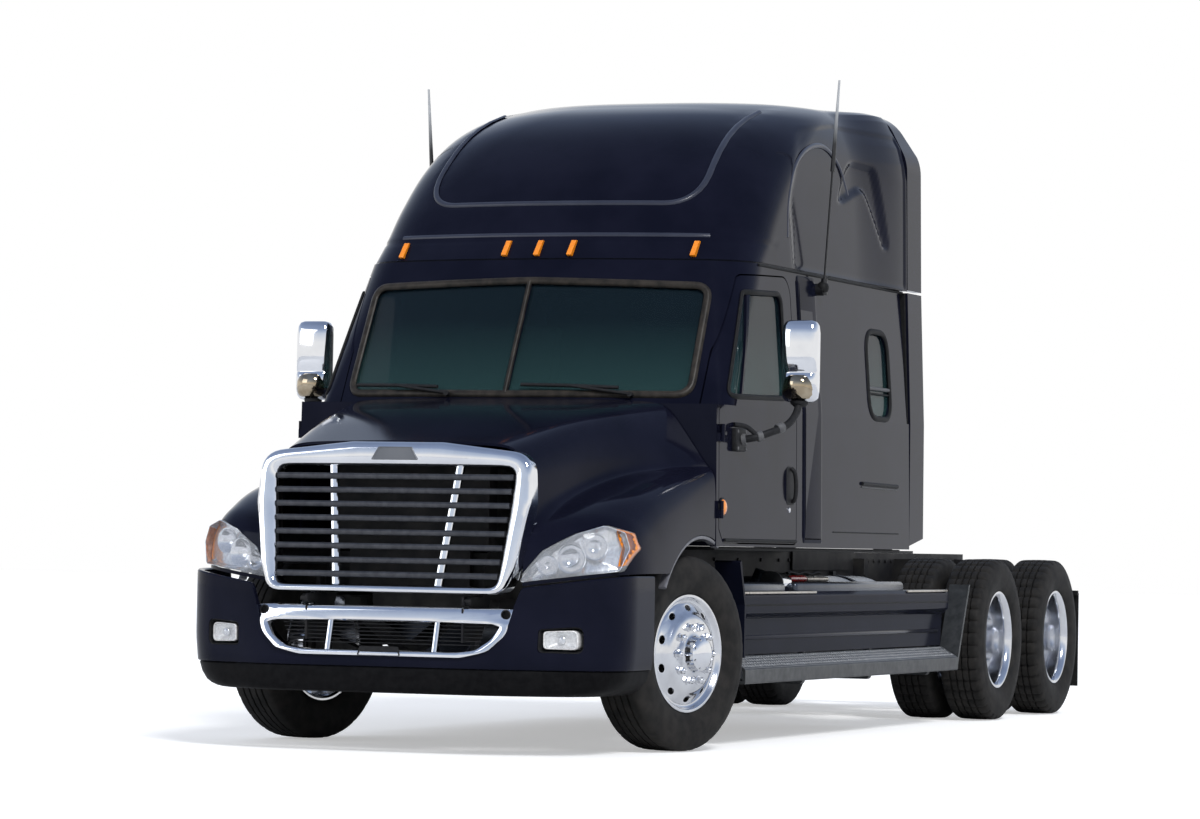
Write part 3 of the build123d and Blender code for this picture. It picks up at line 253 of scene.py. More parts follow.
lamp_tray = surface("lamp_tray", (0.55, 0.57, 0.6), (0.85, 0.86, 0.88), roughness=0.18, metallic=0.9,
                    grain=60, roughness_spread=0.1)
# Dark rubber for the screen seal; its brown tint is a painted reflection of tan ground.
seal_painted_reflection = surface("seal_painted_reflection", (0.018, 0.016, 0.014), (0.04, 0.034, 0.028), roughness=0.34, grain=20,
                     roughness_spread=0.08, bump=0.1, bump_scale=300, ior=1.22)
# Bronze on the chrome mirror dome is a painted reflection of brown ground.
dome_painted_reflection = surface("dome_painted_reflection", (0.3, 0.24, 0.16), (0.45, 0.38, 0.28), roughness=0.08, metallic=1.0,
                      grain=18)
fog_white = surface("fog_white", (0.62, 0.6, 0.58), (0.9, 0.9, 0.88), roughness=0.3, metallic=0.35,
                    grain=70, roughness_spread=0.1)
dark_paint = surface("dark_paint", (0.004, 0.005, 0.011), (0.007, 0.008, 0.017), roughness=0.12,
                     grain=3.0, roughness_spread=0.03, ior=1.09)
slat_grey = surface("slat_grey", (0.035, 0.037, 0.044), (0.06, 0.062, 0.07), roughness=0.35, grain=30,
                    metallic=0.5, roughness_spread=0.1)
# Tan metal: on the chrome shelf lines the tan is a painted reflection of tan ground; the tan hose on the
# tank uses it as its colour.
tan_hose_and_painted_reflection = surface("tan_hose_and_painted_reflection", (0.42, 0.38, 0.32), (0.55, 0.51, 0.45), roughness=0.3, metallic=0.6,
                      grain=40, roughness_spread=0.1)
arch_grey = surface("arch_grey", (0.09, 0.09, 0.1), (0.13, 0.13, 0.145), roughness=0.32, grain=30,
                    roughness_spread=0.08)
plate_grey = surface("plate_grey", (0.12, 0.125, 0.135), (0.15, 0.155, 0.165), roughness=0.4, metallic=0.6,
                     grain=4, roughness_spread=0.04)
# Lighter paint for the roof beads: painted highlight lines.
bead_painted_highlight = surface("bead_painted_highlight", (0.022, 0.025, 0.04), (0.03, 0.034, 0.052), roughness=0.3, grain=6,
                     roughness_spread=0.05, ior=1.4)
lip_black = surface("lip_black", (0.004, 0.004, 0.0045), (0.007, 0.007, 0.0075), roughness=0.45, grain=30,
                    roughness_spread=0.08, ior=1.12)
step_grey = surface("step_grey", (0.035, 0.038, 0.04), (0.06, 0.063, 0.066), roughness=0.45, grain=24,
                    metallic=0.5, roughness_spread=0.12, bump=0.15, bump_scale=260)
whip_grey = graded_surface("whip_grey", (0.01, 0.01, 0.011), (0.42, 0.43, 0.44), 3.3, 3.56)
for dressed, coat in (("side_fairings", dark_paint), ("side_steps", step_grey), ("antennas", whip_grey)):
    dress(dressed, coat)


# Mesh helpers: rows are (x, distance aft of the front axle, z) in millimetres
def at(x, along, z):
    """Point in metres from a row in millimetres."""
    return Vector((x / 1000, front_axle_y + along / 1000, z / 1000))


def mesh_of(name, points, faces, merge=0.0):
    """Mesh with its faces turned outward, points closer than merge made one."""
    mesh = bpy.data.meshes.new(name)
    mesh.from_pydata([tuple(point) for point in points], [], faces)
    work = bmesh.new()
    work.from_mesh(mesh)
    if merge:
        bmesh.ops.remove_doubles(work, verts=work.verts, dist=merge)
    bmesh.ops.recalc_face_normals(work, faces=work.faces)
    work.to_mesh(mesh)
    work.free()
    return mesh


def piece_from(name, points, faces, finish, body, smooth_angle=35, modifiers=(), colour=None):
    """Piece from points in metres, with its modifiers applied to the mesh."""
    mesh = mesh_of(name, points, faces, merge_distance)
    piece = bpy.data.objects.new(name, mesh)
    bpy.context.scene.collection.objects.link(piece)
    for kind, settings in modifiers:
        modifier = piece.modifiers.new(kind.lower(), kind)
        for key, value in settings.items():
            setattr(modifier, key, value)
    if modifiers:
        graph = bpy.context.evaluated_depsgraph_get()
        mesh = bpy.data.meshes.new_from_object(piece.evaluated_get(graph))
        piece.modifiers.clear()
        piece.data = mesh
    mesh.materials.clear()
    mesh.materials.append(slot_materials[finish])
    mesh.shade_smooth()
    mesh.set_sharp_from_angle(angle=math.radians(smooth_angle))
    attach(piece, body)
    if colour:
        mesh.materials[0] = colour
    return piece


def joined(parts):
    """One list of points and faces from several."""
    points = []
    faces = []
    for part_points, part_faces in parts:
        base = len(points)
        points += part_points
        faces += [tuple(index + base for index in face) for face in part_faces]
    return points, faces


def ring_faces(rings, count, closed=True, caps=False):
    """Quads between successive rings of points."""
    faces = []
    last = count if closed else count - 1
    for ring in range(rings - 1):
        for step in range(last):
            following = (step + 1) % count
            faces.append((ring * count + step, ring * count + following,
                          (ring + 1) * count + following, (ring + 1) * count + step))
    if caps:
        faces.append(tuple(reversed(range(count))))
        faces.append(tuple((rings - 1) * count + step for step in range(count)))
    return faces


def smooth_path(rows, steps=8):
    """Points along a smooth curve through rows of points."""
    points = [Vector(row) for row in rows]
    padded = [2 * points[0] - points[1]] + points + [2 * points[-1] - points[-2]]
    path = []
    for index in range(1, len(padded) - 2):
        a, b, c, d = padded[index - 1:index + 3]
        for step in range(steps):
            t = step / steps
            path.append(0.5 * ((2 * b) + (c - a) * t + (2 * a - 5 * b + 4 * c - d) * t * t
                               + (3 * b - a - 3 * c + d) * t * t * t))
    path.append(points[-1])
    return path


def rounded(rows, steps=5):
    """Closed outline of (u, v, radius) corners as points with rounded corners."""
    outline = []
    count = len(rows)
    for index, (u, v, radius) in enumerate(rows):
        here = Vector((u, v))
        before = Vector(rows[index - 1][:2]) - here
        after = Vector(rows[(index + 1) % count][:2]) - here
        angle = before.angle(after, math.pi)
        if radius <= 0 or angle > 3.12:
            outline.append(here)
            continue
        reach = min(radius / math.tan(angle / 2), before.length * 0.49, after.length * 0.49)
        start = here + before.normalized() * reach
        end = here + after.normalized() * reach
        for step in range(steps + 1):
            t = step / steps
            outline.append((1 - t) ** 2 * start + 2 * t * (1 - t) * here + t * t * end)
    return outline


def prism(outline, place):
    """Points and faces of an outline swept between two levels by place(u, v, level)."""
    points = [place(u, v, level) for level in (0, 1) for u, v in outline]
    return points, ring_faces(2, len(outline), caps=True)


def tube(path, radius, sides_count=12, flatten=1.0):
    """Round tube along a list of points in metres, radius in millimetres."""
    radii = radius if isinstance(radius, (list, tuple)) else [radius] * len(path)
    points = []
    normal = None
    for index, place in enumerate(path):
        ahead = path[min(index + 1, len(path) - 1)]
        behind = path[max(index - 1, 0)]
        tangent = (ahead - behind).normalized()
        if normal is None:
            seed = Vector((0, 0, 1)) if abs(tangent.z) < 0.9 else Vector((1, 0, 0))
            normal = tangent.cross(seed).normalized()
        normal = (normal - tangent * normal.dot(tangent)).normalized()
        across = tangent.cross(normal)
        for step in range(sides_count):
            turn = 2 * math.pi * step / sides_count
            points.append(place + (normal * math.cos(turn) + across * math.sin(turn) * flatten)
                          * radii[index] / 1000)
    return points, ring_faces(len(path), sides_count, caps=True)


def lathe(rows, centre, outward, steps=96, closed=True, wave=None):
    """Turned form about an axis through centre from rows of (outboard, radius)."""
    outward = outward.normalized()
    up = Vector((0, 0, 1)) if abs(outward.z) < 0.9 else Vector((0, 1, 0))
    across = outward.cross(up).normalized()
    up = across.cross(outward)
    points = []
    for step in range(steps):
        turn = 2 * math.pi * step / steps
        arm = across * math.cos(turn) + up * math.sin(turn)
        for u, r in rows:
            lift = wave(step, u, r) if wave else r
            points.append(centre + outward * u / 1000 + arm * lift / 1000)
    faces = []
    count = len(rows)
    last = count if closed else count - 1
    for step in range(steps):
        following = (step + 1) % steps
        for index in range(last):
            ahead = (index + 1) % count
            faces.append((step * count + index, step * count + ahead,
                          following * count + ahead, following * count + index))
    return points, faces


def turned(name, rows, centre, outward, steps, finish, body, smooth_angle=40, closed=False, colour=None):
    """Turned piece about an axis through centre."""
    return piece_from(name, *lathe(rows, centre, outward, steps, closed=closed), finish, body,
                      smooth_angle, colour=colour)


def rod(name, path, radius, sides_count, finish, body="chassis", smooth_angle=50, flatten=1.0,
        colour=None):
    """Round rod, strip or line along a path."""
    return piece_from(name, *tube(path, radius, sides_count, flatten=flatten), finish, body,
                      smooth_angle, colour=colour)


def end_face(rings, count):
    """Face that closes the last of several rings."""
    return tuple((rings - 1) * count + step for step in range(count))


def frame_band(outer, inner, centre, count, section, place):
    """Closed band between two outlines, with a section of (share across, depth)."""
    outer = ray_hits(outer, centre, count)
    inner = ray_hits(inner, centre, count)
    points = [place(a + (b - a) * share, depth) for share, depth in section
              for a, b in zip(outer, inner)]
    faces = ring_faces(len(section), count)
    last = (len(section) - 1) * count
    for step in range(count):
        ahead = (step + 1) % count
        faces.append((step, last + step, last + ahead, ahead))
    return points, faces


def inset_rings(outline, middle, rows, place):
    """Capped rings of an outline drawn inward, from rows of (inset, depth)."""
    points = [place(spot + (middle - spot).normalized() * inset, depth) for inset, depth in rows
              for spot in outline]
    return points, ring_faces(len(rows), len(outline), caps=True)


def bolt(centre, outward, radius, height):
    """Six-sided nut or bolt head with a low dome."""
    outward = outward.normalized()
    seed = Vector((0, 0, 1)) if abs(outward.z) < 0.9 else Vector((1, 0, 0))
    across = outward.cross(seed).normalized()
    up = across.cross(outward)
    points = []
    for level, size in ((0, 1.0), (height * 0.75, 1.0), (height, 0.72)):
        for step in range(6):
            turn = math.pi * step / 3
            points.append(centre + outward * level / 1000
                          + (across * math.cos(turn) + up * math.sin(turn)) * radius * size / 1000)
    return points, ring_faces(3, 6, caps=True)


def rounded_box(low, high, radius, steps=3):
    """Box between two corners in millimetres (x, along, z) with rounded edges."""
    work = bmesh.new()
    bmesh.ops.create_cube(work, size=1)
    middle = [(a + b) / 2 for a, b in zip(low, high)]
    size = [abs(b - a) for a, b in zip(low, high)]
    for vert in work.verts:
        vert.co = Vector((middle[0] + vert.co.x * size[0], middle[1] + vert.co.y * size[1],
                          middle[2] + vert.co.z * size[2]))
    bmesh.ops.bevel(work, geom=list(work.edges), offset=min(radius, min(size) * 0.45),
                    segments=steps, profile=0.5, affect="EDGES")
    work.verts.index_update()
    points = [at(*vert.co) for vert in work.verts]
    faces = [tuple(vert.index for vert in face.verts) for face in work.faces]
    work.free()
    return points, faces


def mirrored(part):
    """The same form on the truck's other side."""
    points, faces = part
    return [Vector((-p.x, p.y, p.z)) for p in points], [tuple(reversed(face)) for face in faces]


cutters = []


def cutter(name, part):
    """Hidden closed mesh for a boolean cut."""
    item = bpy.data.objects.new(name, mesh_of(name, *part))
    bpy.context.scene.collection.objects.link(item)
    cutters.append(item)
    return item


def drop_cutters():
    """Remove the cutting meshes from the scene."""
    for item in cutters:
        bpy.data.objects.remove(item)
    cutters.clear()


def front_prism(rows, near, far, steps=6):
    """Closed form of a front-view outline of (x, z, radius) between two distances aft."""
    return prism(rounded(rows, steps), lambda u, v, level: at(u, near + (far - near) * level, v))


def side_prism(rows, inner_x, outer_x):
    """Closed form of a side-view outline of (distance aft, z, radius) between two places."""
    return prism(rounded(rows, 6),
                 lambda u, v, level: at(inner_x + (outer_x - inner_x) * level, u, v))


def shell(thickness, offset=-1.0):
    """Modifier row that gives a surface a thickness in metres."""
    return "SOLIDIFY", {"thickness": thickness, "offset": offset}


def cut_by(*items):
    """Boolean modifier rows that cut these forms away."""
    return tuple(("BOOLEAN", {"operation": "DIFFERENCE", "solver": "EXACT", "object": item})
                 for item in items)


# Hood skin: a cage of control rows, subdivided. A station is (distance aft, crown columns)
hood_stations = [
    (-1125, [(0, 1562), (210, 1560), (420, 1555), (545, 1549), (628, 1528), (694, 1432), (706, 1290)]),
    (-500, [(0, 1718), (255, 1716), (500, 1712), (660, 1704), (748, 1684), (806, 1580), (832, 1480)]),
    (205, [(0, 1826), (300, 1824), (600, 1820), (830, 1810), (915, 1792), (990, 1700), (1075, 1580)]),
]
hood_places = (-1125, -1000, -850, -650, -420, -180, 30, 200)
hood_rear_edge = (172, 178, 192, 200, 200, 200, 200)

# Fender columns from the valley to the foot of the side, rows of (x, distance aft, z)
nose_rows = [
    [(690, -1200, 790), (790, -1182, 790), (900, -1150, 790), (1020, -1095, 790), (1110, -1015, 790),
     (1168, -905, 790), (1192, -760, 790), (1196, -600, 780)],
    [(695, -1188, 960), (795, -1168, 965), (905, -1136, 970), (1022, -1080, 975), (1112, -1000, 970),
     (1170, -888, 955), (1194, -740, 925), (1197, -570, 790)],
    [(700, -1160, 1085), (800, -1138, 1098), (910, -1105, 1112), (1025, -1050, 1116),
     (1115, -968, 1100), (1172, -850, 1055), (1195, -700, 985), (1197, -540, 800)],
    [(706, -1128, 1132), (805, -1085, 1162), (915, -1040, 1184), (1028, -975, 1190),
     (1118, -880, 1168), (1175, -770, 1115), (1196, -620, 1020), (1198, -500, 820)],
]
fender_rows = [
    [(720, -1105, 1160), (805, -1020, 1198), (915, -965, 1222), (1030, -895, 1228), (1120, -800, 1200),
     (1177, -690, 1140), (1197, -560, 1030), (1198, -460, 840)],
    [(738, -1000, 1218), (830, -925, 1240), (930, -870, 1260), (1045, -800, 1264), (1128, -705, 1236),
     (1181, -600, 1170), (1198, -480, 1050), (1198, -420, 870)],
    [(758, -850, 1280), (850, -790, 1290), (950, -745, 1300), (1060, -680, 1302), (1135, -595, 1272),
     (1185, -500, 1200), (1198, -400, 1070), (1198, -360, 900)],
    [(798, -645, 1348), (885, -610, 1346), (980, -580, 1342), (1078, -530, 1334), (1145, -460, 1300),
     (1189, -380, 1225), (1198, -300, 1085), (1198, -270, 940)],
    [(862, -415, 1408), (940, -400, 1398), (1022, -385, 1385), (1100, -355, 1366), (1155, -310, 1326),
     (1192, -250, 1250), (1198, -200, 1095), (1198, -170, 970)],
    [(950, -180, 1442), (1010, -175, 1432), (1070, -170, 1418), (1125, -160, 1396),
     (1168, -140, 1354), (1194, -110, 1265), (1198, -90, 1100), (1198, -70, 990)],
    [(1050, 30, 1460), (1090, 30, 1450), (1125, 30, 1437), (1155, 30, 1416), (1180, 30, 1378),
     (1196, 30, 1280), (1198, 30, 1100), (1198, 30, 1000)],
    [(1148, 200, 1472), (1164, 200, 1462), (1177, 200, 1448), (1186, 200, 1428), (1193, 200, 1395),
     (1198, 200, 1290), (1198, 200, 1100), (1198, 200, 1000)],
]
headlamp_rows = [(655, 858, 15), (780, 1020, 60), (930, 1110, 80), (1060, 1155, 40),
                 (1150, 1120, 25), (1175, 1040, 30), (1140, 922, 25)]
surround_rows = [(640, 800, 90), (690, 930, 0), (745, 1250, 0), (735, 1500, 120), (250, 1554, 0)]
surround_opening_rows = [(597, 840, 45), (632, 1200, 0), (650, 1430, 55)]
arch_centre = (20, 450)
arch_radius = 665
cut_front = -1400
surround_cut_back = -1122
lamp_cut_back = -700
smoothing = ("SUBSURF", {"levels": 3, "render_levels": 3})


def both_sides(rows):
    """A half outline up the left side, closed by its mirror image."""
    return rows + [(-u, v, r) for u, v, r in reversed(rows)]


def crown_columns(place):
    """Hood columns (x, z) at one distance aft, between its stations."""
    for (low, before), (high, after) in zip(hood_stations, hood_stations[1:]):
        if place <= high:
            break
    t = (place - low) / (high - low)
    return [(a[0] + (b[0] - a[0]) * t, a[1] + (b[1] - a[1]) * t) for a, b in zip(before, after)]


def hood_cage():
    """Control points and quads of the left half of the hood."""
    points = []
    faces = []
    rows = []
    for row in nose_rows:
        start = len(points)
        points += [at(*place) for place in row]
        rows.append([None] * 7 + list(range(start, start + 8)))
    for index, place in enumerate(hood_places):
        start = len(points)
        for column, (x, z) in enumerate(crown_columns(place)):
            along = hood_rear_edge[column] if index == len(hood_places) - 1 else place
            points.append(at(x, along, z))
        points += [at(*spot) for spot in fender_rows[index]]
        rows.append(list(range(start, start + 15)))
    for near, far in zip(rows, rows[1:]):
        for column in range(14):
            quad = (near[column], near[column + 1], far[column + 1], far[column])
            if None not in quad:
                faces.append(quad)
    return points, faces


def whole_hood():
    """Control points and quads of both halves."""
    half = hood_cage()
    return joined([half, mirrored(half)])


def arch_form(side, radius):
    """Closed cylinder through the fender for the wheel arch."""
    outline = [(arch_centre[0] + radius * math.cos(math.radians(step * 3)),
                arch_centre[1] + radius * math.sin(math.radians(step * 3))) for step in range(120)]
    return prism(outline, lambda u, v, level: at(side * (560 + 740 * level), u, v))


def grown(rows, amount):
    """Outline rows moved outward from their middle by about an amount."""
    middle = Vector((sum(r[0] for r in rows) / len(rows), sum(r[1] for r in rows) / len(rows)))
    result = []
    for u, v, radius in rows:
        away = (Vector((u, v)) - middle).normalized() * amount
        result.append((u + away.x, v + away.y, radius))
    return result


foot_rows = [(500, 500, 0), (500, 829, 0), (600, 831, 0), (1300, 930, 0), (1300, 500, 0)]


def flipped(rows, side):
    """Outline rows on one side of the truck."""
    return [(side * u, v, r) for u, v, r in rows]


def side_outline(rows, side):
    """Rounded outline on one side of the truck, run in the same sense on both."""
    outline = rounded(flipped(rows, side), 6)
    if side < 0:
        outline.reverse()
    return outline


def make_hood():
    """Smooth hood and fenders with lamp openings and wheel arches."""
    cuts = [cutter("cut_surround", front_prism(both_sides(surround_rows), cut_front, surround_cut_back))]
    for side in (1, -1):
        cuts.append(cutter("cut_lamp", front_prism(flipped(headlamp_rows, side), cut_front,
                                                   lamp_cut_back)))
        cuts.append(cutter("cut_arch", arch_form(side, arch_radius)))
        cuts.append(cutter("cut_foot", front_prism(flipped(foot_rows, side), -1500, -400)))
    modifiers = (smoothing, shell(0.014)) + cut_by(*cuts)
    hood = piece_from("hood_skin", *whole_hood(), "body_paint", "hood", 40, modifiers)
    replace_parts(hood, "hood_shell")
    arm_rows = [(-1285, 744, 8), (-1105, 744, 15), (-1090, 905, 0), (-1123, 905, 0), (-1123, 786, 8),
                (-1285, 786, 20)]
    for side, name in sides:
        arm = piece_from(f"hood_hinge_arm_{name}", *side_prism(arm_rows, side * 436, side * 458),
                         "chassis_black", "hood")


def lens_shell(name, finish, side, rows, thickness):
    """A patch of the fender surface inside an outline."""
    keep = cutter("keep_lamp", front_prism(flipped(rows, side), cut_front, lamp_cut_back, 8))
    edge = cutter("cut_edge", front_prism(both_sides(surround_rows), cut_front, surround_cut_back))
    half = hood_cage()
    if side < 0:
        half = mirrored(half)
    modifiers = (smoothing, shell(thickness),
                 ("BOOLEAN", {"operation": "INTERSECT", "solver": "EXACT", "object": keep})) + cut_by(edge)
    return piece_from(name, *half, finish, "hood", 40, modifiers)


def bowl(centre, outward, radius, depth, rim=4):
    """Turned reflector bowl that opens outward."""
    rows = []
    for step in range(9):
        t = step / 8
        rows.append((-depth * (1 - t * t), radius * t + 2 * (1 - t)))
    rows += [(2, radius + rim), (-6, radius + rim)]
    for step in range(8, -1, -1):
        t = step / 8
        rows.append((-depth * (1 - t * t) - 5, radius * t + 2 * (1 - t)))
    return lathe(rows, centre, outward, 40)


def make_headlamps():
    """Clear lamps with a bright housing, three reflectors and an amber outer strip."""
    amber_rows = [(1092, 1135, 0), (1115, 1129, 15), (1148, 1112, 20), (1168, 1040, 25),
                  (1136, 950, 20), (1118, 950, 0), (1126, 1040, 20)]
    bulb_rows = [(-32, 5), (-4, 5), (0, 9), (16, 11), (24, 9), (30, 0), (-32, 0)]
    for side, name in sides:
        lens_shell(f"headlamp_lens_{name}", "lamp_clear", side, grown(headlamp_rows, -3), 0.005)
        lens_shell(f"headlamp_amber_{name}", "lamp_amber", side, amber_rows, 0.02)
        outline = rounded(flipped(grown(headlamp_rows, -4), side), 6)
        count = len(outline)
        # Bright tray: a rim on the skin's line and a stepped floor behind the lens
        middle = Vector((side * 930, 1010))
        points = []
        for inset, depth in ((0.0, 26), (0.04, 60), (0.12, 105), (0.6, 120), (0.95, 125)):
            for point in outline:
                spot = middle + (point - middle) * (1 - inset)
                x = abs(spot.x)
                front = -1205 + (x - 600) * 0.19 + max(0, x - 900) ** 2 * 0.00125
                front += max(0, spot.y - 900) * 0.2
                points.append(at(spot.x, front + depth, spot.y))
        tray = piece_from(f"headlamp_tray_{name}", points, ring_faces(5, count) + [end_face(5, count)],
                          "chrome", "hood", 30, (shell(0.003),), lamp_tray)
        outward = Vector((side * 0.35, -1, 0.05))
        for x, along, z, radius in ((905, -1075, 985, 70), (1010, -1025, 1045, 62),
                                    (800, -1118, 950, 48)):
            piece_from(f"headlamp_dish_{x}_{name}", *bowl(at(side * x, along, z), outward, radius, 42),
                       "chrome", "hood")
            turned(f"headlamp_bulb_{x}_{name}", bulb_rows, at(side * x, along + 10, z), outward, 20,
                   "lamp_clear", "hood", 35, closed=True)
        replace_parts(tray, "headlamps")


# Wheels: the same datums as the solids, with treaded tyres and bolted rims
steer_angle = -14.8
kingpin_x = 930
kingpin_offset = 0.117
axle_height = 505
mount_face_x = 929.5
dual_spacing = 335
stud_circle = 0.143
cap_bolt_circle = 0.0765
drive_places = {"front": 5404, "rear": 6724}


def steer_datum(side):
    """Centre and outward direction of one steered wheel."""
    angle = math.radians(steer_angle)
    outward = Vector((side * math.cos(angle), side * math.sin(angle), 0))
    return at(side * kingpin_x, 0, axle_height) + outward * kingpin_offset, outward


def tyre_rows(ribs, depth):
    """Closed tyre section, rows of (across, radius), with straight grooves in the tread."""
    side_wall = [(-104.7, 286.4), (-106, 303), (-117, 309), (-124, 318), (-133, 336), (-138.5, 362),
                 (-142, 392), (-142.3, 408), (-140, 425), (-139.2, 428), (-138.4, 440), (-135, 456),
                 (-131, 468), (-127, 478), (-121, 489), (-113, 496.5)]
    tread = []
    half = 104
    pitch = 2 * half / ribs
    for rib in range(ribs):
        left = -half + rib * pitch
        right = left + pitch
        gap = 5.5
        crown = [503.4 - abs(place / half) ** 2 * 3.2 for place in (left, right)]
        if rib:
            tread += [(left + gap * 0.6, crown[0] - depth), (left + gap, crown[0])]
        else:
            tread += [(left, crown[0])]
        tread += [((left + right) / 2, (crown[0] + crown[1]) / 2 + 0.4)]
        if rib < ribs - 1:
            tread += [(right - gap, crown[1]), (right - gap * 0.6, crown[1] - depth)]
        else:
            tread += [(right, crown[1])]
    right_wall = [(-u, r) for u, r in reversed(side_wall)]
    return side_wall + tread + right_wall


def steer_wave(step, u, r):
    """Small notches along the rib edges and shoulders."""
    if r > 497 and abs(u) < 112 and step % 4 == 0:
        return r - 2.2
    if 489 <= r < 497 and step % 8 == 0:
        return r - 2.5
    return r


def drive_wave(step, u, r):
    """Deep lug blocks across the tread and shoulder."""
    lug = (step + (2 if u > 0 else 0)) % 5
    if r > 486 and lug == 0:
        return r - (12 if abs(u) > 60 else 7)
    return r


def tyre(name, centre, outward, finish_body, drive, shifts=(0,)):
    """Tyre or pair of tyres on one hub."""
    rows = tyre_rows(5, 13)
    parts = []
    for shift in shifts:
        parts.append(lathe([(u + shift, r) for u, r in rows], centre, outward, 200,
                           wave=drive_wave if drive else steer_wave))
    return piece_from(name, *joined(parts), "tyre", finish_body, 42)


def holed_ring(centre, outward, near, far, front, back, hole_radius, hole_out, count=10, each=16):
    """Ring of a wheel disc with oval hand holes, open at its inner and outer edges."""
    outward = outward.normalized()
    up = Vector((0, 0, 1))
    across = outward.cross(up).normalized()
    points = []
    faces = []

    def place(radius, turn, u):
        """Point on the disc."""
        arm = across * math.cos(turn) + up * math.sin(turn)
        return centre + outward * u / 1000 + arm * radius / 1000

    middle_radius = (near + far) / 2
    half_turn = math.pi / count
    for hole in range(count):
        turn = 2 * math.pi * (hole + 0.5) / count
        border = []
        for step in range(each):
            border.append((near, turn - half_turn + 2 * half_turn * step / each))
        for step in range(4):
            border.append((near + (far - near) * step / 4, turn + half_turn))
        for step in range(each):
            border.append((far, turn + half_turn - 2 * half_turn * step / each))
        for step in range(4):
            border.append((far + (near - far) * step / 4, turn - half_turn))
        size = len(border)
        for profile in (front, back):
            sign = 1 if profile is front else -1
            start = len(points)
            for ring, blend in enumerate((0, 0.55, 1.0)):
                for radius, angle in border:
                    spin = math.atan2(radius - middle_radius, (angle - turn) * middle_radius)
                    oval_r = middle_radius + hole_radius * math.sin(spin)
                    oval_t = turn + hole_out * math.cos(spin) / middle_radius
                    r = radius + (oval_r - radius) * blend
                    t = angle + (oval_t - angle) * blend
                    dip = (2.5 if ring == 2 else 0) * sign
                    points.append(place(r, t, profile(r) - dip))
            for ring in range(2):
                for step in range(size):
                    ahead = (step + 1) % size
                    quad = (start + ring * size + step, start + ring * size + ahead,
                            start + (ring + 1) * size + ahead, start + (ring + 1) * size + step)
                    faces.append(quad if sign > 0 else tuple(reversed(quad)))
        front_hole = len(points) - 4 * size
        back_hole = len(points) - size
        for step in range(size):
            ahead = (step + 1) % size
            faces.append((front_hole + step, front_hole + ahead, back_hole + ahead, back_hole + step))
    return points, faces


def profile_of(rows):
    """Outboard place as a function of radius along profile rows."""
    ordered = sorted((r, u) for u, r in rows)

    def value(radius):
        """Outboard place at one radius."""
        for (low, a), (high, b) in zip(ordered, ordered[1:]):
            if radius <= high:
                return a + (b - a) * max(0.0, radius - low) / max(high - low, 0.001)
        return ordered[-1][1]
    return value


# Rim sections as rows of (outboard, radius), split where the holed ring goes
steer_face = [(224, 0), (223.5, 30), (221, 52), (212, 68), (200, 79), (189, 85), (164, 86.5), (158, 90),
              (154, 99), (151, 118), (149.5, 150), (147.5, 178), (143, 192), (134, 203), (124, 212)]
steer_outer = [(100, 258), (94.5, 265), (95, 272), (101, 279), (112, 284), (117.5, 290), (118, 297),
               (117, 302.5), (112, 304), (107, 302), (105, 296), (105, 287), (60, 286), (-105, 286),
               (-105, 302), (-112, 304), (-117.5, 300), (-117, 290), (-106, 280), (60, 268), (84, 262),
               (88, 258)]
steer_inner = [(112, 212), (122, 203), (130, 190), (118, 80), (-35, 80), (-35, 0)]
drive_face = [(165, 0), (164, 34), (160, 56), (152, 74), (136, 84), (64, 88), (40, 92), (31, 99),
              (26.5, 118), (25.5, 160), (25, 190), (27, 203), (33, 212)]
drive_outer = [(70, 257), (86, 260.5), (150, 262.5), (235, 264.5), (255, 267), (266, 272), (277, 281),
               (284, 288), (285.4, 296), (284, 302.5), (279, 304), (274, 302), (272.5, 296),
               (272.5, 287), (180, 286), (62.5, 286), (62.5, 303), (50, 303), (49.5, 275), (58, 268),
               (58, 257)]
drive_inner = [(20, 212), (14, 203), (-24, 190), (-24, 98), (-110, 90), (-215, 80), (-215, 0)]


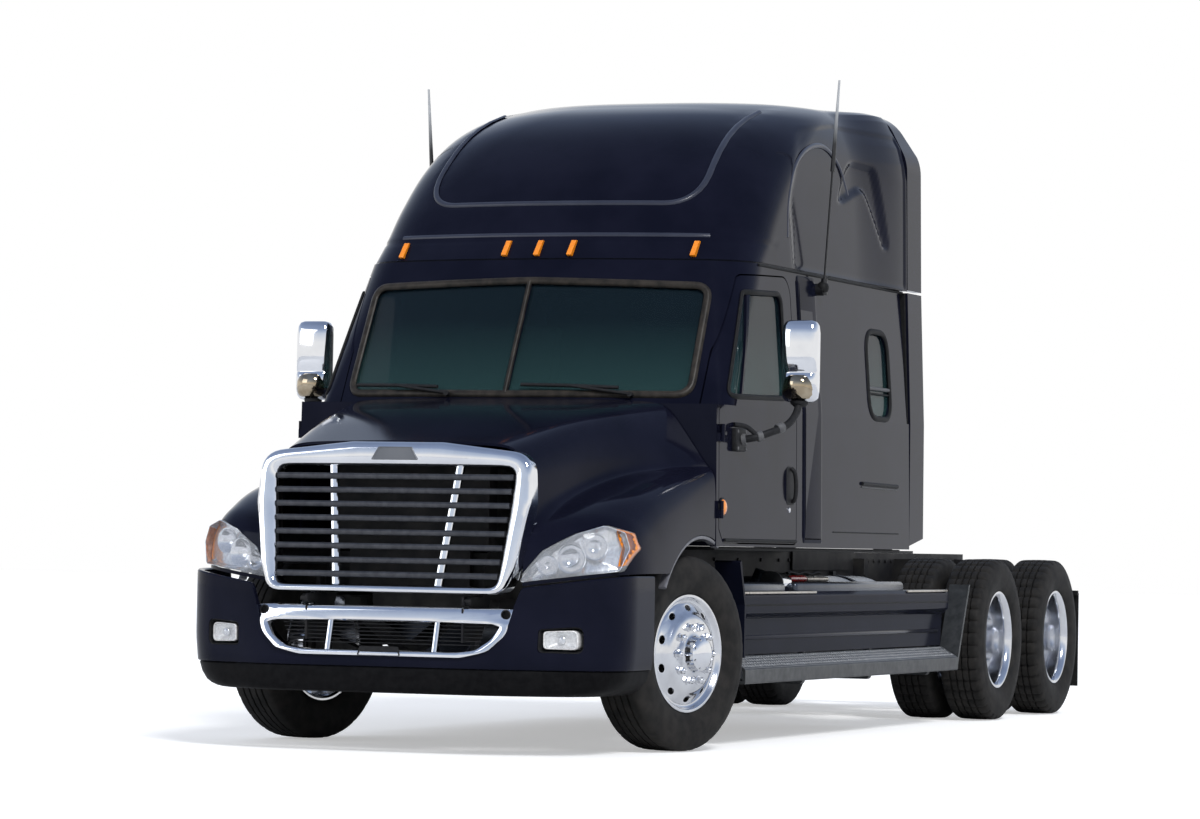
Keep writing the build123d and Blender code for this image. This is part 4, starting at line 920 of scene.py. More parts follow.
def rim(name, centre, outward, body, drive):
    """Polished disc wheel with hand holes, nuts and a hub cap."""
    face, outer, inner = ((drive_face, drive_outer, drive_inner) if drive else
                          (steer_face, steer_outer, steer_inner))
    parts = [lathe(rows, centre, outward, 160, closed=False) for rows in (face, outer, inner)]
    front = profile_of([face[-1], outer[0]])
    back = profile_of([inner[0], outer[-1]])
    far = outer[0][1]
    parts.append(holed_ring(centre, outward, 212, far, front, back, 15, 24))
    if drive:
        twin = [(-55, 270), (-200, 262), (-262, 266), (-285.5, 290), (-285.5, 304), (-272.5, 304),
                (-272.5, 286), (-62.5, 286), (-62.5, 304), (-49.5, 304), (-49.5, 275)]
        parts.append(lathe(twin, centre, outward, 96))
    piece = piece_from(name, *joined(parts), "alloy", body, 38)
    nuts = []
    base = 25.5 if drive else 149.5
    up = Vector((0, 0, 1))
    across = outward.cross(up).normalized()
    for index in range(10):
        turn = 2 * math.pi * index / 10
        arm = across * math.cos(turn) + up * math.sin(turn)
        spot = centre + outward * base / 1000 + arm * stud_circle
        nuts.append(lathe([(0, 23), (4, 23), (5, 20), (5, 0)], spot, outward, 24))
        nuts.append(bolt(spot + outward * 0.004, outward, 18.5, 27))
        nuts.append(lathe([(30, 0), (30, 8), (40, 8), (41, 6), (41, 0)], spot, outward, 16))
    piece_from(f"{name}_nuts", *joined(nuts), "chrome", body, 30)
    cap_rows = ([(152, 90), (158, 91), (162, 89), (205, 86), (214, 78), (221, 62), (224.5, 40), (226, 22),
                 (226.4, 0)] if not drive else
                [(30, 96), (36, 97), (40, 94), (118, 89), (141, 85), (156, 74), (163.5, 56), (166, 30),
                 (166.5, 0)])
    turned(f"{name}_hub_cap", cap_rows, centre, outward, 64, "chrome", body, 30)
    collar = []
    for index in range(8):
        turn = 2 * math.pi * (index + 0.5) / 8
        arm = across * math.cos(turn) + up * math.sin(turn)
        spot = centre + outward * (cap_rows[3][0] - 2) / 1000 + arm * cap_bolt_circle
        collar.append(bolt(spot, outward, 6.5, cap_rows[-1][0] - cap_rows[3][0] - 6))
    piece_from(f"{name}_cap_bolts", *joined(collar), "alloy", body, 30)
    return piece


def make_wheels():
    """All ten tyres on their six hubs."""
    for side, name in sides:
        centre, outward = steer_datum(side)
        body = f"steer_wheel_{name}"
        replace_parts(tyre(f"tread_tyre_steer_{name}", centre, outward, body, False),
                    f"steer_tyre_{name}")
        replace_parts(rim(f"disc_steer_{name}", centre, outward, body, False), f"steer_rim_{name}")
        for axle, along in drive_places.items():
            centre = at(side * mount_face_x, along, axle_height)
            outward = Vector((side, 0, 0))
            body = f"drive_wheel_{axle}_{name}"
            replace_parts(tyre(f"tread_tyres_{axle}_{name}", centre, outward, body, True,
                             (-dual_spacing / 2, dual_spacing / 2)), f"drive_tyres_{axle}_{name}")
            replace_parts(rim(f"disc_{axle}_{name}", centre, outward, body, True),
                        f"drive_rim_{axle}_{name}")


# Chrome surround, leaning back a little
surround_foot_y = -1320
surround_foot_z = 800
surround_slope = math.tan(math.radians(9.2))


def lean_y(z, behind=0):
    """Distance aft of the surround's leaning face at one height."""
    return surround_foot_y + (z - surround_foot_z) * surround_slope + behind


def ray_hits(outline, centre, count):
    """Points where evenly turned rays from a centre cross a closed outline."""
    hits = []
    for step in range(count):
        turn = 2 * math.pi * step / count
        ray = Vector((math.cos(turn), math.sin(turn)))
        best = None
        for a, b in zip(outline, outline[1:] + outline[:1]):
            edge = b - a
            cross = ray.x * edge.y - ray.y * edge.x
            if abs(cross) < 1e-9:
                continue
            gap = a - centre
            reach = (gap.x * edge.y - gap.y * edge.x) / cross
            share = (gap.x * ray.y - gap.y * ray.x) / cross
            if reach > 0 and -1e-6 <= share <= 1 + 1e-6 and (best is None or reach > best):
                best = reach
        hits.append(centre + ray * best)
    return hits


def make_grille():
    """Rounded chrome surround, uprights and the blank plate at its top."""
    section = [(0.0, 130), (0.0, 36), (0.012, 24), (0.05, 12), (0.13, 3), (0.3, 0.5), (0.5, 0.5),
               (0.68, 3), (0.84, 12), (0.95, 26), (1.0, 42), (1.0, 90)]
    band = frame_band(rounded(both_sides(surround_rows), 8), rounded(both_sides(surround_opening_rows), 8),
                      Vector((0, 1180)), 240, section,
                      lambda spot, depth: at(spot.x, min(lean_y(spot.y, depth), -1126), spot.y))
    surround = piece_from("surround_trim", *band, "chrome", "hood", 40)
    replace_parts(surround, "grille_surround")
    section = ((-19, 30), (-19, 6), (-15, 1), (0, -1), (15, 1), (19, 6), (19, 30))
    for side, name in sides:
        points = []
        for step in range(13):
            x = side * (277 + 70 * step / 12)
            z = 830 + 615 * step / 12
            points += [at(x + dx, lean_y(z, 30) + dy, z) for dx, dy in section]
        piece_from(f"upright_{name}", points, ring_faces(13, 7, caps=True), "chrome", "hood", 30)
    outline = rounded([(-128, 1462, 6), (128, 1462, 6), (92, 1528, 8), (-92, 1528, 8)], 4)
    plate = inset_rings(outline, Vector((0, 1495)), ((0, 12), (0, -2), (3, -4.5), (9, -4.5), (12, -2.5)),
                        lambda spot, depth: at(spot.x, lean_y(spot.y, depth), spot.y))
    piece_from("surround_plate", *plate, "grey_trim", "hood", 30, colour=plate_grey)


mirror_x = 1425


def make_mirrors():
    """Bright mirror heads with a domed lower part on each door."""
    # Rows of (z, half width, front reach, back reach) up the head
    rows = [(1832, 62, 22, 30), (1838, 80, 34, 42), (1856, 94, 48, 50), (1890, 99, 60, 54),
            (1940, 100, 64, 55), (1972, 100, 60, 55), (1984, 99.5, 52, 55), (1990, 99.5, 50, 55),
            (1998, 100, 54, 55), (2080, 100, 58, 55), (2200, 100, 55, 55), (2240, 95, 46, 52),
            (2260, 84, 34, 44), (2268, 66, 20, 30)]
    arm_rows = [(1180, 520, 1618), (1240, 535, 1626), (1300, 560, 1640), (1400, 700, 1700),
                (mirror_x, 800, 1770), (mirror_x, 852, 1850)]
    count = 40
    for side, name in sides:
        body = f"door_{name}"
        rings = []
        for z, half, front, back in rows:
            for step in range(count):
                turn = 2 * math.pi * step / count
                c = math.cos(turn)
                s = math.sin(turn)
                x = math.copysign(abs(c) ** 0.5, c) * half
                y = math.copysign(abs(s) ** (0.35 if s > 0 else 0.8), s) * (back if s > 0 else front)
                rings.append(at(side * mirror_x + x, 860 + y, z))
        head = piece_from(f"mirror_head_{name}", rings, ring_faces(len(rows), count, caps=True),
                          "chrome", body, 50)
        rod(f"mirror_arm_{name}", smooth_path([at(side * x, y, z) for x, y, z in arm_rows], 6), 20, 14,
            "dark_trim", body, 40)
        foot = rounded_box((side * 1185, 448, 1560), (side * 1222, 602, 1682), 10)
        piece_from(f"mirror_foot_{name}", *foot, "dark_trim", body, 40)
        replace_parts(head, f"mirror_{name}")


# Roof cap stations, rows of (z, front distance aft, half width, corner radius)
roof_rows = [(2592, 600, 1128, 360), (2715, 700, 1122, 420), (2900, 826, 1112, 500),
             (3130, 1030, 1094, 600), (3330, 1290, 1062, 700), (3470, 1600, 1005, 760),
             (3555, 1940, 930, 760), (3594, 2220, 850, 700), (3605, 2520, 720, 600)]
cab_back = 3550
bow_radius = 2800
roof_levels = 118


def corner_of(front, half, radius):
    """Centre of a plan corner's arc, and where the bowed front meets it."""
    across = half - radius
    along = front + bow_radius - math.sqrt((bow_radius - radius) ** 2 - across ** 2)
    return across, along, across * bow_radius / (bow_radius - radius)


def front_reach(x, front, half, radius):
    """Distance aft of a cab section's front at x."""
    across, along, edge = corner_of(front, half, radius)
    x = min(abs(x), half)
    if x <= edge:
        return front + bow_radius - math.sqrt(bow_radius ** 2 - x * x)
    return along - math.sqrt(max(0.0, radius ** 2 - (x - across) ** 2))


def side_reach(place, front, half, radius):
    """Half width of a cab section at a distance aft."""
    across, along, edge = corner_of(front, half, radius)
    start = front_reach(edge, front, half, radius)
    if place >= along:
        return half
    if place >= start:
        return across + math.sqrt(max(0.0, radius ** 2 - (along - place) ** 2))
    return math.sqrt(max(0.0, bow_radius ** 2 - (front + bow_radius - max(place, front)) ** 2))


def plan_loop(front, half, radius, back, back_radius, z):
    """Points round the cab at one height, starting at the front centre."""
    across, along, edge = corner_of(front, half, radius)
    left = []
    for step in range(44):
        x = edge * step / 44
        left.append((x, front_reach(x, front, half, radius)))
    start_turn = math.acos(min(1.0, (edge - across) / radius))
    for step in range(20):
        turn = start_turn * (1 - step / 20)
        left.append((across + radius * math.cos(turn), along - radius * math.sin(turn)))
    for step in range(60):
        left.append((half, along + (back - back_radius - along) * step / 60))
    for step in range(7):
        turn = math.pi / 2 * step / 6
        left.append((half - back_radius + back_radius * math.cos(turn),
                     back - back_radius + back_radius * math.sin(turn)))
    for step in range(1, 8):
        left.append(((half - back_radius) * (1 - step / 8), back))
    ring = [(x, y, z) for x, y in left] + [(0, back, z)]
    ring += [(-x, y, z) for x, y in reversed(left[1:])]
    return ring


def outline_distance(outline, u, v):
    """Distance from a point to a closed outline, negative inside."""
    best = 1e9
    inside = False
    for (ax, ay), (bx, by) in outline:
        dx = bx - ax
        dy = by - ay
        t = max(0.0, min(1.0, ((u - ax) * dx + (v - ay) * dy) / (dx * dx + dy * dy + 1e-9)))
        gap = math.hypot(u - ax - dx * t, v - ay - dy * t)
        best = min(best, gap)
        if (ay > v) != (by > v) and u < (bx - ax) * (v - ay) / (by - ay) + ax:
            inside = not inside
    return -best if inside else best


def edges_of(rows, steps=6):
    """Edges of a rounded outline as pairs of plain points."""
    outline = [tuple(point) for point in rounded(rows, steps)]
    return list(zip(outline, outline[1:] + outline[:1]))


def roof_profile(count):
    """Smooth stations up the roof cap."""
    path = smooth_path([Vector((z, front, half)) for z, front, half, radius in roof_rows], 24)
    radii = smooth_path([Vector((radius, 0, 0)) for z, front, half, radius in roof_rows], 24)
    lengths = [0.0]
    for a, b in zip(path, path[1:]):
        lengths.append(lengths[-1] + (b - a).length)
    stations = []
    for step in range(count):
        goal = lengths[-1] * step / (count - 1)
        index = min(len(path) - 2, next(i for i in range(len(lengths)) if lengths[i + 1] >= goal - 1e-6))
        t = (goal - lengths[index]) / max(lengths[index + 1] - lengths[index], 1e-9)
        here = path[index].lerp(path[index + 1], t)
        radius = radii[index].lerp(radii[index + 1], t).x
        stations.append((here.x, here.y, here.z, radius))
    return stations


def flared(x, y, z):
    """Roof point drawn out to the side extender's outline towards the cap's rear."""
    share = max(0.0, min(1.0, (y - 2720) / 800))
    share = share * share * (3 - 2 * share)
    if share == 0 or abs(x) < 1:
        return [x, y, z]
    middle = Vector((0, min(z, 2950)))
    spot = Vector((abs(x), z))
    ray = (spot - middle)
    reach = ray.length
    ray.normalize()
    best = None
    for a, b in zip(extender_path, extender_path[1:]):
        edge = b - a
        cross = ray.x * edge.y - ray.y * edge.x
        if abs(cross) < 1e-9:
            continue
        gap = a - middle
        far = (gap.x * edge.y - gap.y * edge.x) / cross
        part = (gap.x * ray.y - gap.y * ray.x) / cross
        if far > 0 and -0.001 <= part <= 1.001:
            best = far if best is None else max(best, far)
    if best is None or best <= reach:
        return [x, y, z]
    place = spot.lerp(middle + ray * (best - 3), share)
    return [math.copysign(place.x, x), y, place.y]


def flared_ring(ring):
    """One level of the roof with its sides drawn out and its back edge kept straight."""
    half = len(ring) // 2
    corner = half - 8
    left = [flared(*point) for point in ring[:corner + 1]]
    end = left[-1]
    for step in range(1, 8):
        left.append([end[0] * (1 - step / 8), cab_back, end[2]])
    return left + [[0, cab_back, end[2]]] + [[-x, y, z] for x, y, z in reversed(left[1:])]


def top_faces(first, count, points):
    """Grid across the roof's flat top, from its outline's left side to its right side."""
    half = count // 2
    corner = half - 8
    steps = 16
    rows = []
    for step in range(1, corner):
        left = points[first + step]
        right = points[first + count - step]
        row = [first + step]
        for share in range(1, steps):
            row.append(len(points))
            points.append(left.lerp(right, share / steps))
        rows.append(row + [first + count - step])
    rows.append([first + step for step in range(corner, count - corner + 1)])
    faces = [(first, before, after) for before, after in zip(rows[0], rows[0][1:])]
    for near, far in zip(rows, rows[1:]):
        for step in range(steps):
            faces.append((near[step], near[step + 1], far[step + 1], far[step]))
    return faces


extender_path = [Vector(point) for point in ((1200, 1065), (1195, 1800), (1165, 2584), (1158, 2972),
                                             (1152, 3240), (1140, 3330), (1112, 3432), (1062, 3520),
                                             (1022, 3586), (985, 3622), (930, 3637), (860, 3640),
                                             (0, 3640))]


def make_roof():
    """Smooth roof cap with its sunk front panel, side panels and brow line."""
    stations = roof_profile(roof_levels)
    z, front, half, radius = stations[0]
    rings = [plan_loop(front + 16, half - 16, radius - 16, cab_back - 16, 50, foot)
             for foot in (2584.6, 2591.8)]
    for ring in rings:
        for index, (x, y, z) in enumerate(ring):
            if y > cab_back - 20:
                ring[index] = (x, cab_back, z)
    for z, front, half, radius in stations:
        rings.append(plan_loop(front, half, radius, cab_back, 60, z))
    count = len(rings[0])
    front_panel = edges_of([(-770, 3900, 0), (-810, 2905, 190), (810, 2905, 190), (770, 3900, 0)])
    side_panel = edges_of([(1600, 2602, 30), (1560, 2980, 200), (1900, 3390, 420), (2600, 3480, 200),
                           (3600, 3490, 0), (3600, 2602, 0)])
    crescent = edges_of([(2360, 2990, 60), (2700, 3290, 320), (3080, 3280, 60), (3240, 2810, 20),
                         (3180, 2810, 20), (2900, 3140, 120)])
    points = []
    for ring in rings:
        points += flared_ring(ring)
    grid = [Vector(point) for point in points]
    levels = len(rings)
    moved = []
    for level in range(levels):
        for step in range(count):
            index = level * count + step
            here = grid[index]
            right = grid[level * count + (step + 1) % count]
            left = grid[level * count + (step - 1) % count]
            above = grid[min(level + 1, levels - 1) * count + step]
            below = grid[max(level - 1, 0) * count + step]
            normal = (right - left).cross(above - below)
            normal = normal.normalized() if normal.length > 1e-6 else Vector((0, 0, 1))
            sink = 0.0
            if here.y < 2400:
                gap = outline_distance(front_panel, here.x, here.z)
                if gap < 30:
                    fade = min(1.0, (2400 - here.y) / 500)
                    sink += 9 * fade * min(1.0, max(0.0, (14 - gap) / 28))
            if abs(here.x) > 880 and here.y > 1100 and here.y < cab_back - 40:
                gap = outline_distance(side_panel, here.y, here.z)
                sink += 8 * min(1.0, max(0.0, (12 - gap) / 24))
                gap = outline_distance(crescent, here.y, here.z)
                sink += 22 * min(1.0, max(0.0, (8 - gap) / 34))
            if here.y < 1300:
                sink += 4.5 * max(0.0, 1 - abs(here.z - 2702) / 13)
                sink -= 2.5 * max(0.0, 1 - abs(here.z - 2722) / 16)
            moved.append(here - normal * sink)
    faces = ring_faces(levels, count)
    faces.append(tuple(range(count)))
    faces += top_faces((levels - 1) * count, count, moved)
    roof = piece_from("roof_skin", [at(*point) for point in moved], faces, "body_paint", "chassis", 50)
    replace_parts(roof, "roof_cap")


# Bumper plan and levels
bumper_side = 1195
bumper_front = -1345
bumper_back = -660
bumper_top = 905
settle_height = 700
tow_hole_x = 656
lower_ring_rows = [(445, 484, 60), (575, 516, 90), (662, 598, 90), (705, 734, 16)]
lower_hole_rows = [(408, 514, 50), (507, 526, 70), (586, 578, 80), (636, 656, 14)]
ring_cut_rows = [(445, 486, 60), (573, 518, 90), (660, 600, 90), (699, 732, 0), (699, 826, 0)]


def bumper_ring(z, side_inset, front_inset):
    """Open path round the bumper at one height, from the right rear to the left rear."""
    side = bumper_side - side_inset
    face = bumper_front + front_inset
    radius = 500 - side_inset
    corner = -1120 + front_inset
    outline = rounded([(620, face, 900), (side, corner, radius), (side, bumper_back, 0),
                       (-side, bumper_back, 0), (-side, corner, radius), (-620, face, 900)], 28)
    start = next(i for i, point in enumerate(outline) if abs(point.x - side) < 0.01
                 and abs(point.y - bumper_back) < 0.01)
    path = list(reversed(outline[start + 1:] + outline[:start + 1]))
    return [at(p.x, p.y, settled(p.x, z)) for p in even_path(path, 360)]


def even_path(path, count):
    """Points at even spacing along an open path."""
    marks = [0.0]
    for before, after in zip(path, path[1:]):
        marks.append(marks[-1] + (after - before).length)
    result = []
    place = 0
    for step in range(count + 1):
        goal = marks[-1] * step / count
        while place < len(path) - 2 and marks[place + 1] < goal:
            place += 1
        share = (goal - marks[place]) / max(marks[place + 1] - marks[place], 1e-9)
        result.append(path[place].lerp(path[place + 1], min(1.0, share)))
    return result


def top_edge(x):
    """Height of the bumper's upper edge at x."""
    x = abs(x)
    if x > 740:
        return 832 + 73 * (x - 700) / 495
    share = max(0.0, min(1.0, (x - 690) / 50))
    return 735 + 102.9 * share * share * (3 - 2 * share)


def settled(x, z):
    """A level of the bumper, pressed down under its upper edge in its upper part."""
    if z <= settle_height:
        return z
    share = (z - settle_height) * (top_edge(x) - settle_height)
    return settle_height + share / (bumper_top - settle_height)


def corner_inset(z):
    """How far the bumper's lower corners draw in."""
    rise = max(0.0, min(140.0, z - 300))
    return 140 - math.sqrt(140 ** 2 - (140 - rise) ** 2) + 26 * max(0.0, 1 - (z - 300) / 260)


def bumper_shell(name, levels, inner_levels, finish, cuts):
    """Closed shell of one part of the bumper from outer and inner rows of (z, inset)."""
    points = []
    count = 0
    rows = levels + inner_levels
    for z, inset in rows:
        ring = bumper_ring(z, min(corner_inset(z) + inset, 190), inset)
        count = len(ring)
        points += ring
    faces = ring_faces(len(rows), count, closed=False)
    last = (len(rows) - 1) * count
    for step in range(count - 1):
        faces.append((last + step, last + step + 1, step + 1, step))
    faces.append(tuple(level * count for level in range(len(rows))))
    faces.append(tuple(level * count + count - 1 for level in reversed(range(len(rows)))))
    return piece_from(name, points, faces, finish, "chassis", 32, cut_by(*cuts))


def make_bumper():
    """Painted bumper with a black lower lip, lamp recesses and the chrome ring."""
    fog_cut_rows = [(812, 520, 22), (1024, 516, 40), (1024, 652, 40), (816, 636, 22)]
    cuts = [cutter("cut_ring", front_prism(both_sides(ring_cut_rows), cut_front, -1250))]
    for side in (1, -1):
        cuts.append(cutter("cut_fog", front_prism(flipped(fog_cut_rows, side), -1500, -1000)))
    skin_levels = [(432, 10), (434, 3), (440, 0)] + [(440 + 35 * n, 0) for n in range(1, 13)]
    skin_levels += [(895, 1), (903, 6), (bumper_top, 16)]
    inner_levels = [(899, 30), (860, 34), (780, 36), (700, 36), (560, 36), (440, 36), (433, 30)]
    skin = bumper_shell("bumper_skin", skin_levels, inner_levels, "body_paint", cuts)
    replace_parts(skin, "bumper")
    lip_levels = [(302, 30), (304, 18), (310, 9), (322, 4), (340, 3), (380, 6), (424, 8), (434, 14)]
    lip = bumper_shell("bumper_lip", lip_levels, [(428, 40), (380, 40), (310, 44)], "dark_trim", [])
    lip.data.materials[0] = lip_black
    mouth = [(814, 522, 22), (1022, 518, 38), (1022, 650, 38), (818, 634, 22)]
    floor_rows = [(835, 535, 18), (1000, 533, 30), (1000, 635, 30), (835, 625, 14)]
    for side, name in sides:
        # Tapered cup behind each fog lamp opening
        outer = side_outline(mouth, side)
        inner = side_outline(floor_rows, side)
        count = len(outer)
        points = []
        for share, back in ((0, 6), (0.15, 20), (0.6, 70), (1, 120)):
            for a, b in zip(outer, inner):
                spot = a.lerp(b, share)
                points.append(at(spot.x, bumper_face_at(spot.x) + back * 0.7, spot.y))
        piece_from(f"fog_recess_{name}", points, ring_faces(4, count) + [end_face(4, count)],
                   "dark_trim", "chassis", 30, (shell(0.003, 0.0),))
        make_fog_lamp(side, name)
    make_lower_ring()


face_places = []


def bumper_face_at(x):
    """Distance aft of the bumper's front face at x."""
    x = abs(x)
    if not face_places:
        for place in bumper_ring(600, 0, 0):
            if place.x >= 0:
                face_places.append((place.x * 1000, (place.y - front_axle_y) * 1000))
        face_places.sort()
    for (low, before), (high, after) in zip(face_places, face_places[1:]):
        if low <= x <= high and high > low:
            return before + (after - before) * (x - low) / (high - low)
    return bumper_front


def make_fog_lamp(side, name):
    """Clear round-cornered fog lamp with a bright bowl and bezel."""
    outline = side_outline([(834, 538, 22), (1000, 534, 30), (1000, 634, 34), (834, 626, 20)], side)
    middle = Vector((side * 917, 584))
    count = len(outline)

    def rings(rows):
        """Rings of the outline drawn to its middle, from rows of (share, distance back)."""
        points = []
        for share, back in rows:
            for spot in outline:
                place = middle + (spot - middle) * share
                points.append(at(place.x, bumper_face_at(place.x) + back, place.y))
        return points, ring_faces(len(rows), count) + [end_face(len(rows), count)]

    points, faces = rings(((1.0, 82), (1.0, 14), (0.95, 8), (0.9, 7), (0.87, 13), (0.84, 24), (0.55, 40),
                           (0.2, 48)))
    bezel = piece_from(f"fog_bowl_{name}", points, faces + [tuple(reversed(range(count)))], "lamp_clear",
                       "chassis", 30, colour=fog_white)
    if side > 0:
        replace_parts(bezel, "fog_lamps")
    piece_from(f"fog_lens_{name}", *rings(((0.92, 12), (0.7, 8), (0.4, 6), (0.15, 5))), "lamp_clear",
               "chassis", 40, (shell(0.002),))
    turned(f"fog_bulb_{name}", [(0, 0.01), (2, 12), (10, 19), (20, 20), (28, 12), (30, 0.01)],
           at(side * 915, bumper_face_at(915) + 47, 584), Vector((0, -1, 0)), 24, "alloy", "chassis",
           closed=True)


def ring_lean(z):
    """Distance aft of the chrome ring's leaning face at one height."""
    return bumper_front + max(0.0, z - 500) * 0.27


def make_lower_ring():
    """Rounded chrome ring in the bumper with two uprights and a dark plate at its foot."""
    section = [(0.0, 40), (0.0, -2), (0.03, -9), (0.12, -14), (0.3, -15), (0.7, -15), (0.88, -12),
               (0.97, -4), (1.0, 6), (1.0, 38)]
    band = frame_band(rounded(both_sides(lower_ring_rows), 10), rounded(both_sides(lower_hole_rows), 10),
                      Vector((0, 628)), 260, section,
                      lambda spot, depth: at(spot.x, ring_lean(spot.y) + depth, spot.y))
    rows = [(0, 0.01), (0, 21), (125, 21), (125, 0.01)]
    holes = [cutter("cut_tow", lathe(rows, at(side * tow_hole_x, -1385, 702), Vector((0, 1, 0)), 28,
                                     closed=False)) for side in (1, -1)]
    ring = piece_from("lower_ring", *band, "chrome", "chassis", 35, cut_by(*holes))
    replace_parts(ring, "lower_grille")
    outline = ((-13, 30), (-13, 2), (-9, -3), (0, -5), (9, -3), (13, 2), (13, 30))
    for side, name in sides:
        turned(f"tow_hole_rim_{name}", [(0, 21), (0, 26), (6, 26), (10, 23), (10, 21)],
               at(side * tow_hole_x, -1298, 702), Vector((0, -1, 0)), 28, "dark_trim", "chassis", 30,
               closed=True)
        turned(f"tow_hole_cap_{name}", [(0, 0.01), (0, 20.5), (4, 20.5), (4, 0.01)],
               at(side * tow_hole_x, -1268, 702), Vector((0, -1, 0)), 28, "dark_trim", "chassis", 30)
        points = [at(side * 290 + dx, ring_lean(z) + dy, z) for z in (508, 560, 600, 640, 664)
                  for dx, dy in outline]
        piece_from(f"lower_upright_{name}", points, ring_faces(5, 7, caps=True), "chrome", "chassis", 35)
    outline = rounded([(-118, 488, 6), (118, 488, 6), (104, 534, 10), (-104, 534, 10)], 5)
    plate = inset_rings(outline, Vector((0, 511)), ((0, -8), (0, -15), (3, -15), (8, -15), (11, -13.5)),
                        lambda spot, depth: at(spot.x, bumper_front + depth, spot.y))
    piece_from("lower_plate", *plate, "dark_trim", "chassis", 30)
    # Dark mesh of thin bars behind the opening
    bars = []
    for step in range(7):
        z = 548 + step * 19
        reach = 560 - (660 - z) * 0.4
        bars.append(tube([at(-reach, -1290, z), at(reach, -1290, z)], 3, 6))
    piece_from("lower_mesh", *joined(bars), "dark_trim", "chassis", 40)


cab_foot = 1060
cowl_height = 1800
roof_seam = 2584


def cab_section(z):
    """Front, half width and corner radius of the cab's outside above the cowl."""
    rise = z - cowl_height
    share = rise / (roof_seam - cowl_height)
    return 175 + 0.524 * rise, 1190 - 60 * share, 110 + 240 * share


def screen_place(x, z, proud=0.0):
    """Point on the raked screen's outside."""
    front, half, radius = cab_section(z)
    return at(x, front_reach(x, front, half, radius) - proud, z + proud * 0.4)


def side_place(side, place, z, proud=0.0):
    """Point on the cab's side wall."""
    if z >= cowl_height:
        front, half, radius = cab_section(z)
        x = side_reach(place, front, half, radius)
    else:
        x = 1200 - 10 * (z - cab_foot) / (cowl_height - cab_foot)
    return at(side * (x + proud), place, z)


def side_run(side, first, last, z, proud, steps, rise=0):
    """Points along the cab's side between two places, level or with a rise."""
    return [side_place(side, first + (last - first) * step / steps, z + rise * step / steps, proud)
            for step in range(steps + 1)]


def loop_tube(name, points, radius, finish, body, flatten=1.0, sides_count=10):
    """Closed gasket along a loop of points."""
    count = len(points)
    rings = []
    for index, place in enumerate(points):
        tangent = (points[(index + 1) % count] - points[index - 1]).normalized()
        away = Vector((math.copysign(0.35, place.x) if abs(place.x) > 0.9 else 0, -1, 0.35))
        if abs(place.x) > 1.05:
            away = Vector((math.copysign(1, place.x), 0, 0.05))
        across = tangent.cross(away).normalized()
        out = across.cross(tangent).normalized()
        for step in range(sides_count):
            turn = 2 * math.pi * step / sides_count
            rings.append(place + (across * math.cos(turn) + out * math.sin(turn) * flatten) * radius / 1000)
    faces = []
    for ring in range(count):
        for step in range(sides_count):
            ahead = (step + 1) % sides_count
            following = (ring + 1) % count
            faces.append((ring * sides_count + step, ring * sides_count + ahead,
                          following * sides_count + ahead, following * sides_count + step))
    return piece_from(name, rings, faces, finish, body, 50)


def dense(outline, spacing):
    """A closed outline with points no further apart than the spacing."""
    result = []
    for a, b in zip(outline, outline[1:] + outline[:1]):
        steps = max(1, int((b - a).length / spacing))
        for step in range(steps):
            result.append(a.lerp(b, step / steps))
    return result


def make_window_seals():
    """Rounded gaskets round the screen, the door glass and the sleeper windows."""
    outline = dense(rounded([(981, 1851, 80), (968, 2443, 80), (0, 2467, 0), (-968, 2443, 80),
                             (-981, 1851, 80), (0, 1845, 0)], 8), 40)
    seal = loop_tube("screen_seal", [screen_place(p.x, p.y, 2) for p in outline], 21, "rubber",
                     "chassis", 0.62)
    # The seal and divider carry the brown tint, a painted reflection of tan ground.
    seal.data.materials[0] = seal_painted_reflection
    rod("screen_divider", [screen_place(0, 1850 + 610 * step / 24, 4) for step in range(25)], 13, 10,
        "rubber", colour=seal_painted_reflection)
    door_rows = [(464, 1848, 34), (1336, 1868, 62), (1336, 2438, 74), (806, 2418, 34)]
    sleeper_rows = [(2794, 1811, 132), (3196, 1811, 132), (3196, 2316, 132), (2794, 2316, 132)]
    for side, name in sides:
        outline = dense(rounded(door_rows, 7), 40)
        loop_tube(f"door_glass_seal_{name}", [side_place(side, p.x, p.y, 0) for p in outline], 15,
                  "rubber", f"door_{name}", 0.6)
        outline = dense(rounded(sleeper_rows, 9), 40)
        loop_tube(f"sleeper_seal_{name}", [side_place(side, p.x, p.y, 0) for p in outline], 17,
                  "rubber", "chassis", 0.62)
        rod(f"sleeper_bar_{name}", side_run(side, 2800, 3190, 1985, -4, 8), 11, 10, "grey_trim")
        rod(f"sleeper_vent_{name}", side_run(side, 2810, 3180, 1955, -6, 8), 6, 8, "rubber")


def wall_panel(name, side, rows, proud, edge, finish, body, step_size=60, colour=None):
    """Raised panel on the cab's side, with rounded edges and a closed back."""
    outline = dense(rounded(rows, 6), step_size)
    middle = sum(outline, Vector((0, 0))) / len(outline)
    points = []
    for inset, out in ((0, -4), (0, proud * 0.4), (edge * 0.3, proud * 0.85), (edge, proud)):
        for index, spot in enumerate(outline):
            before = outline[index - 1]
            after = outline[(index + 1) % len(outline)]
            run = (after - before).normalized()
            inward = Vector((-run.y, run.x))
            if inward.dot(middle - spot) < 0:
                inward = -inward
            place = spot + inward * inset
            points.append(side_place(side, place.x, place.y, out))
    return piece_from(name, points, ring_faces(4, len(outline), caps=True), finish, body, 30,
                      colour=colour)


def upright_rows(first, last, low, high, low_radius, high_radius):
    """Corner rows of an upright panel between two places and two heights."""
    return [(first, low, low_radius), (last, low, low_radius), (last, high, high_radius),
            (first, high, high_radius)]


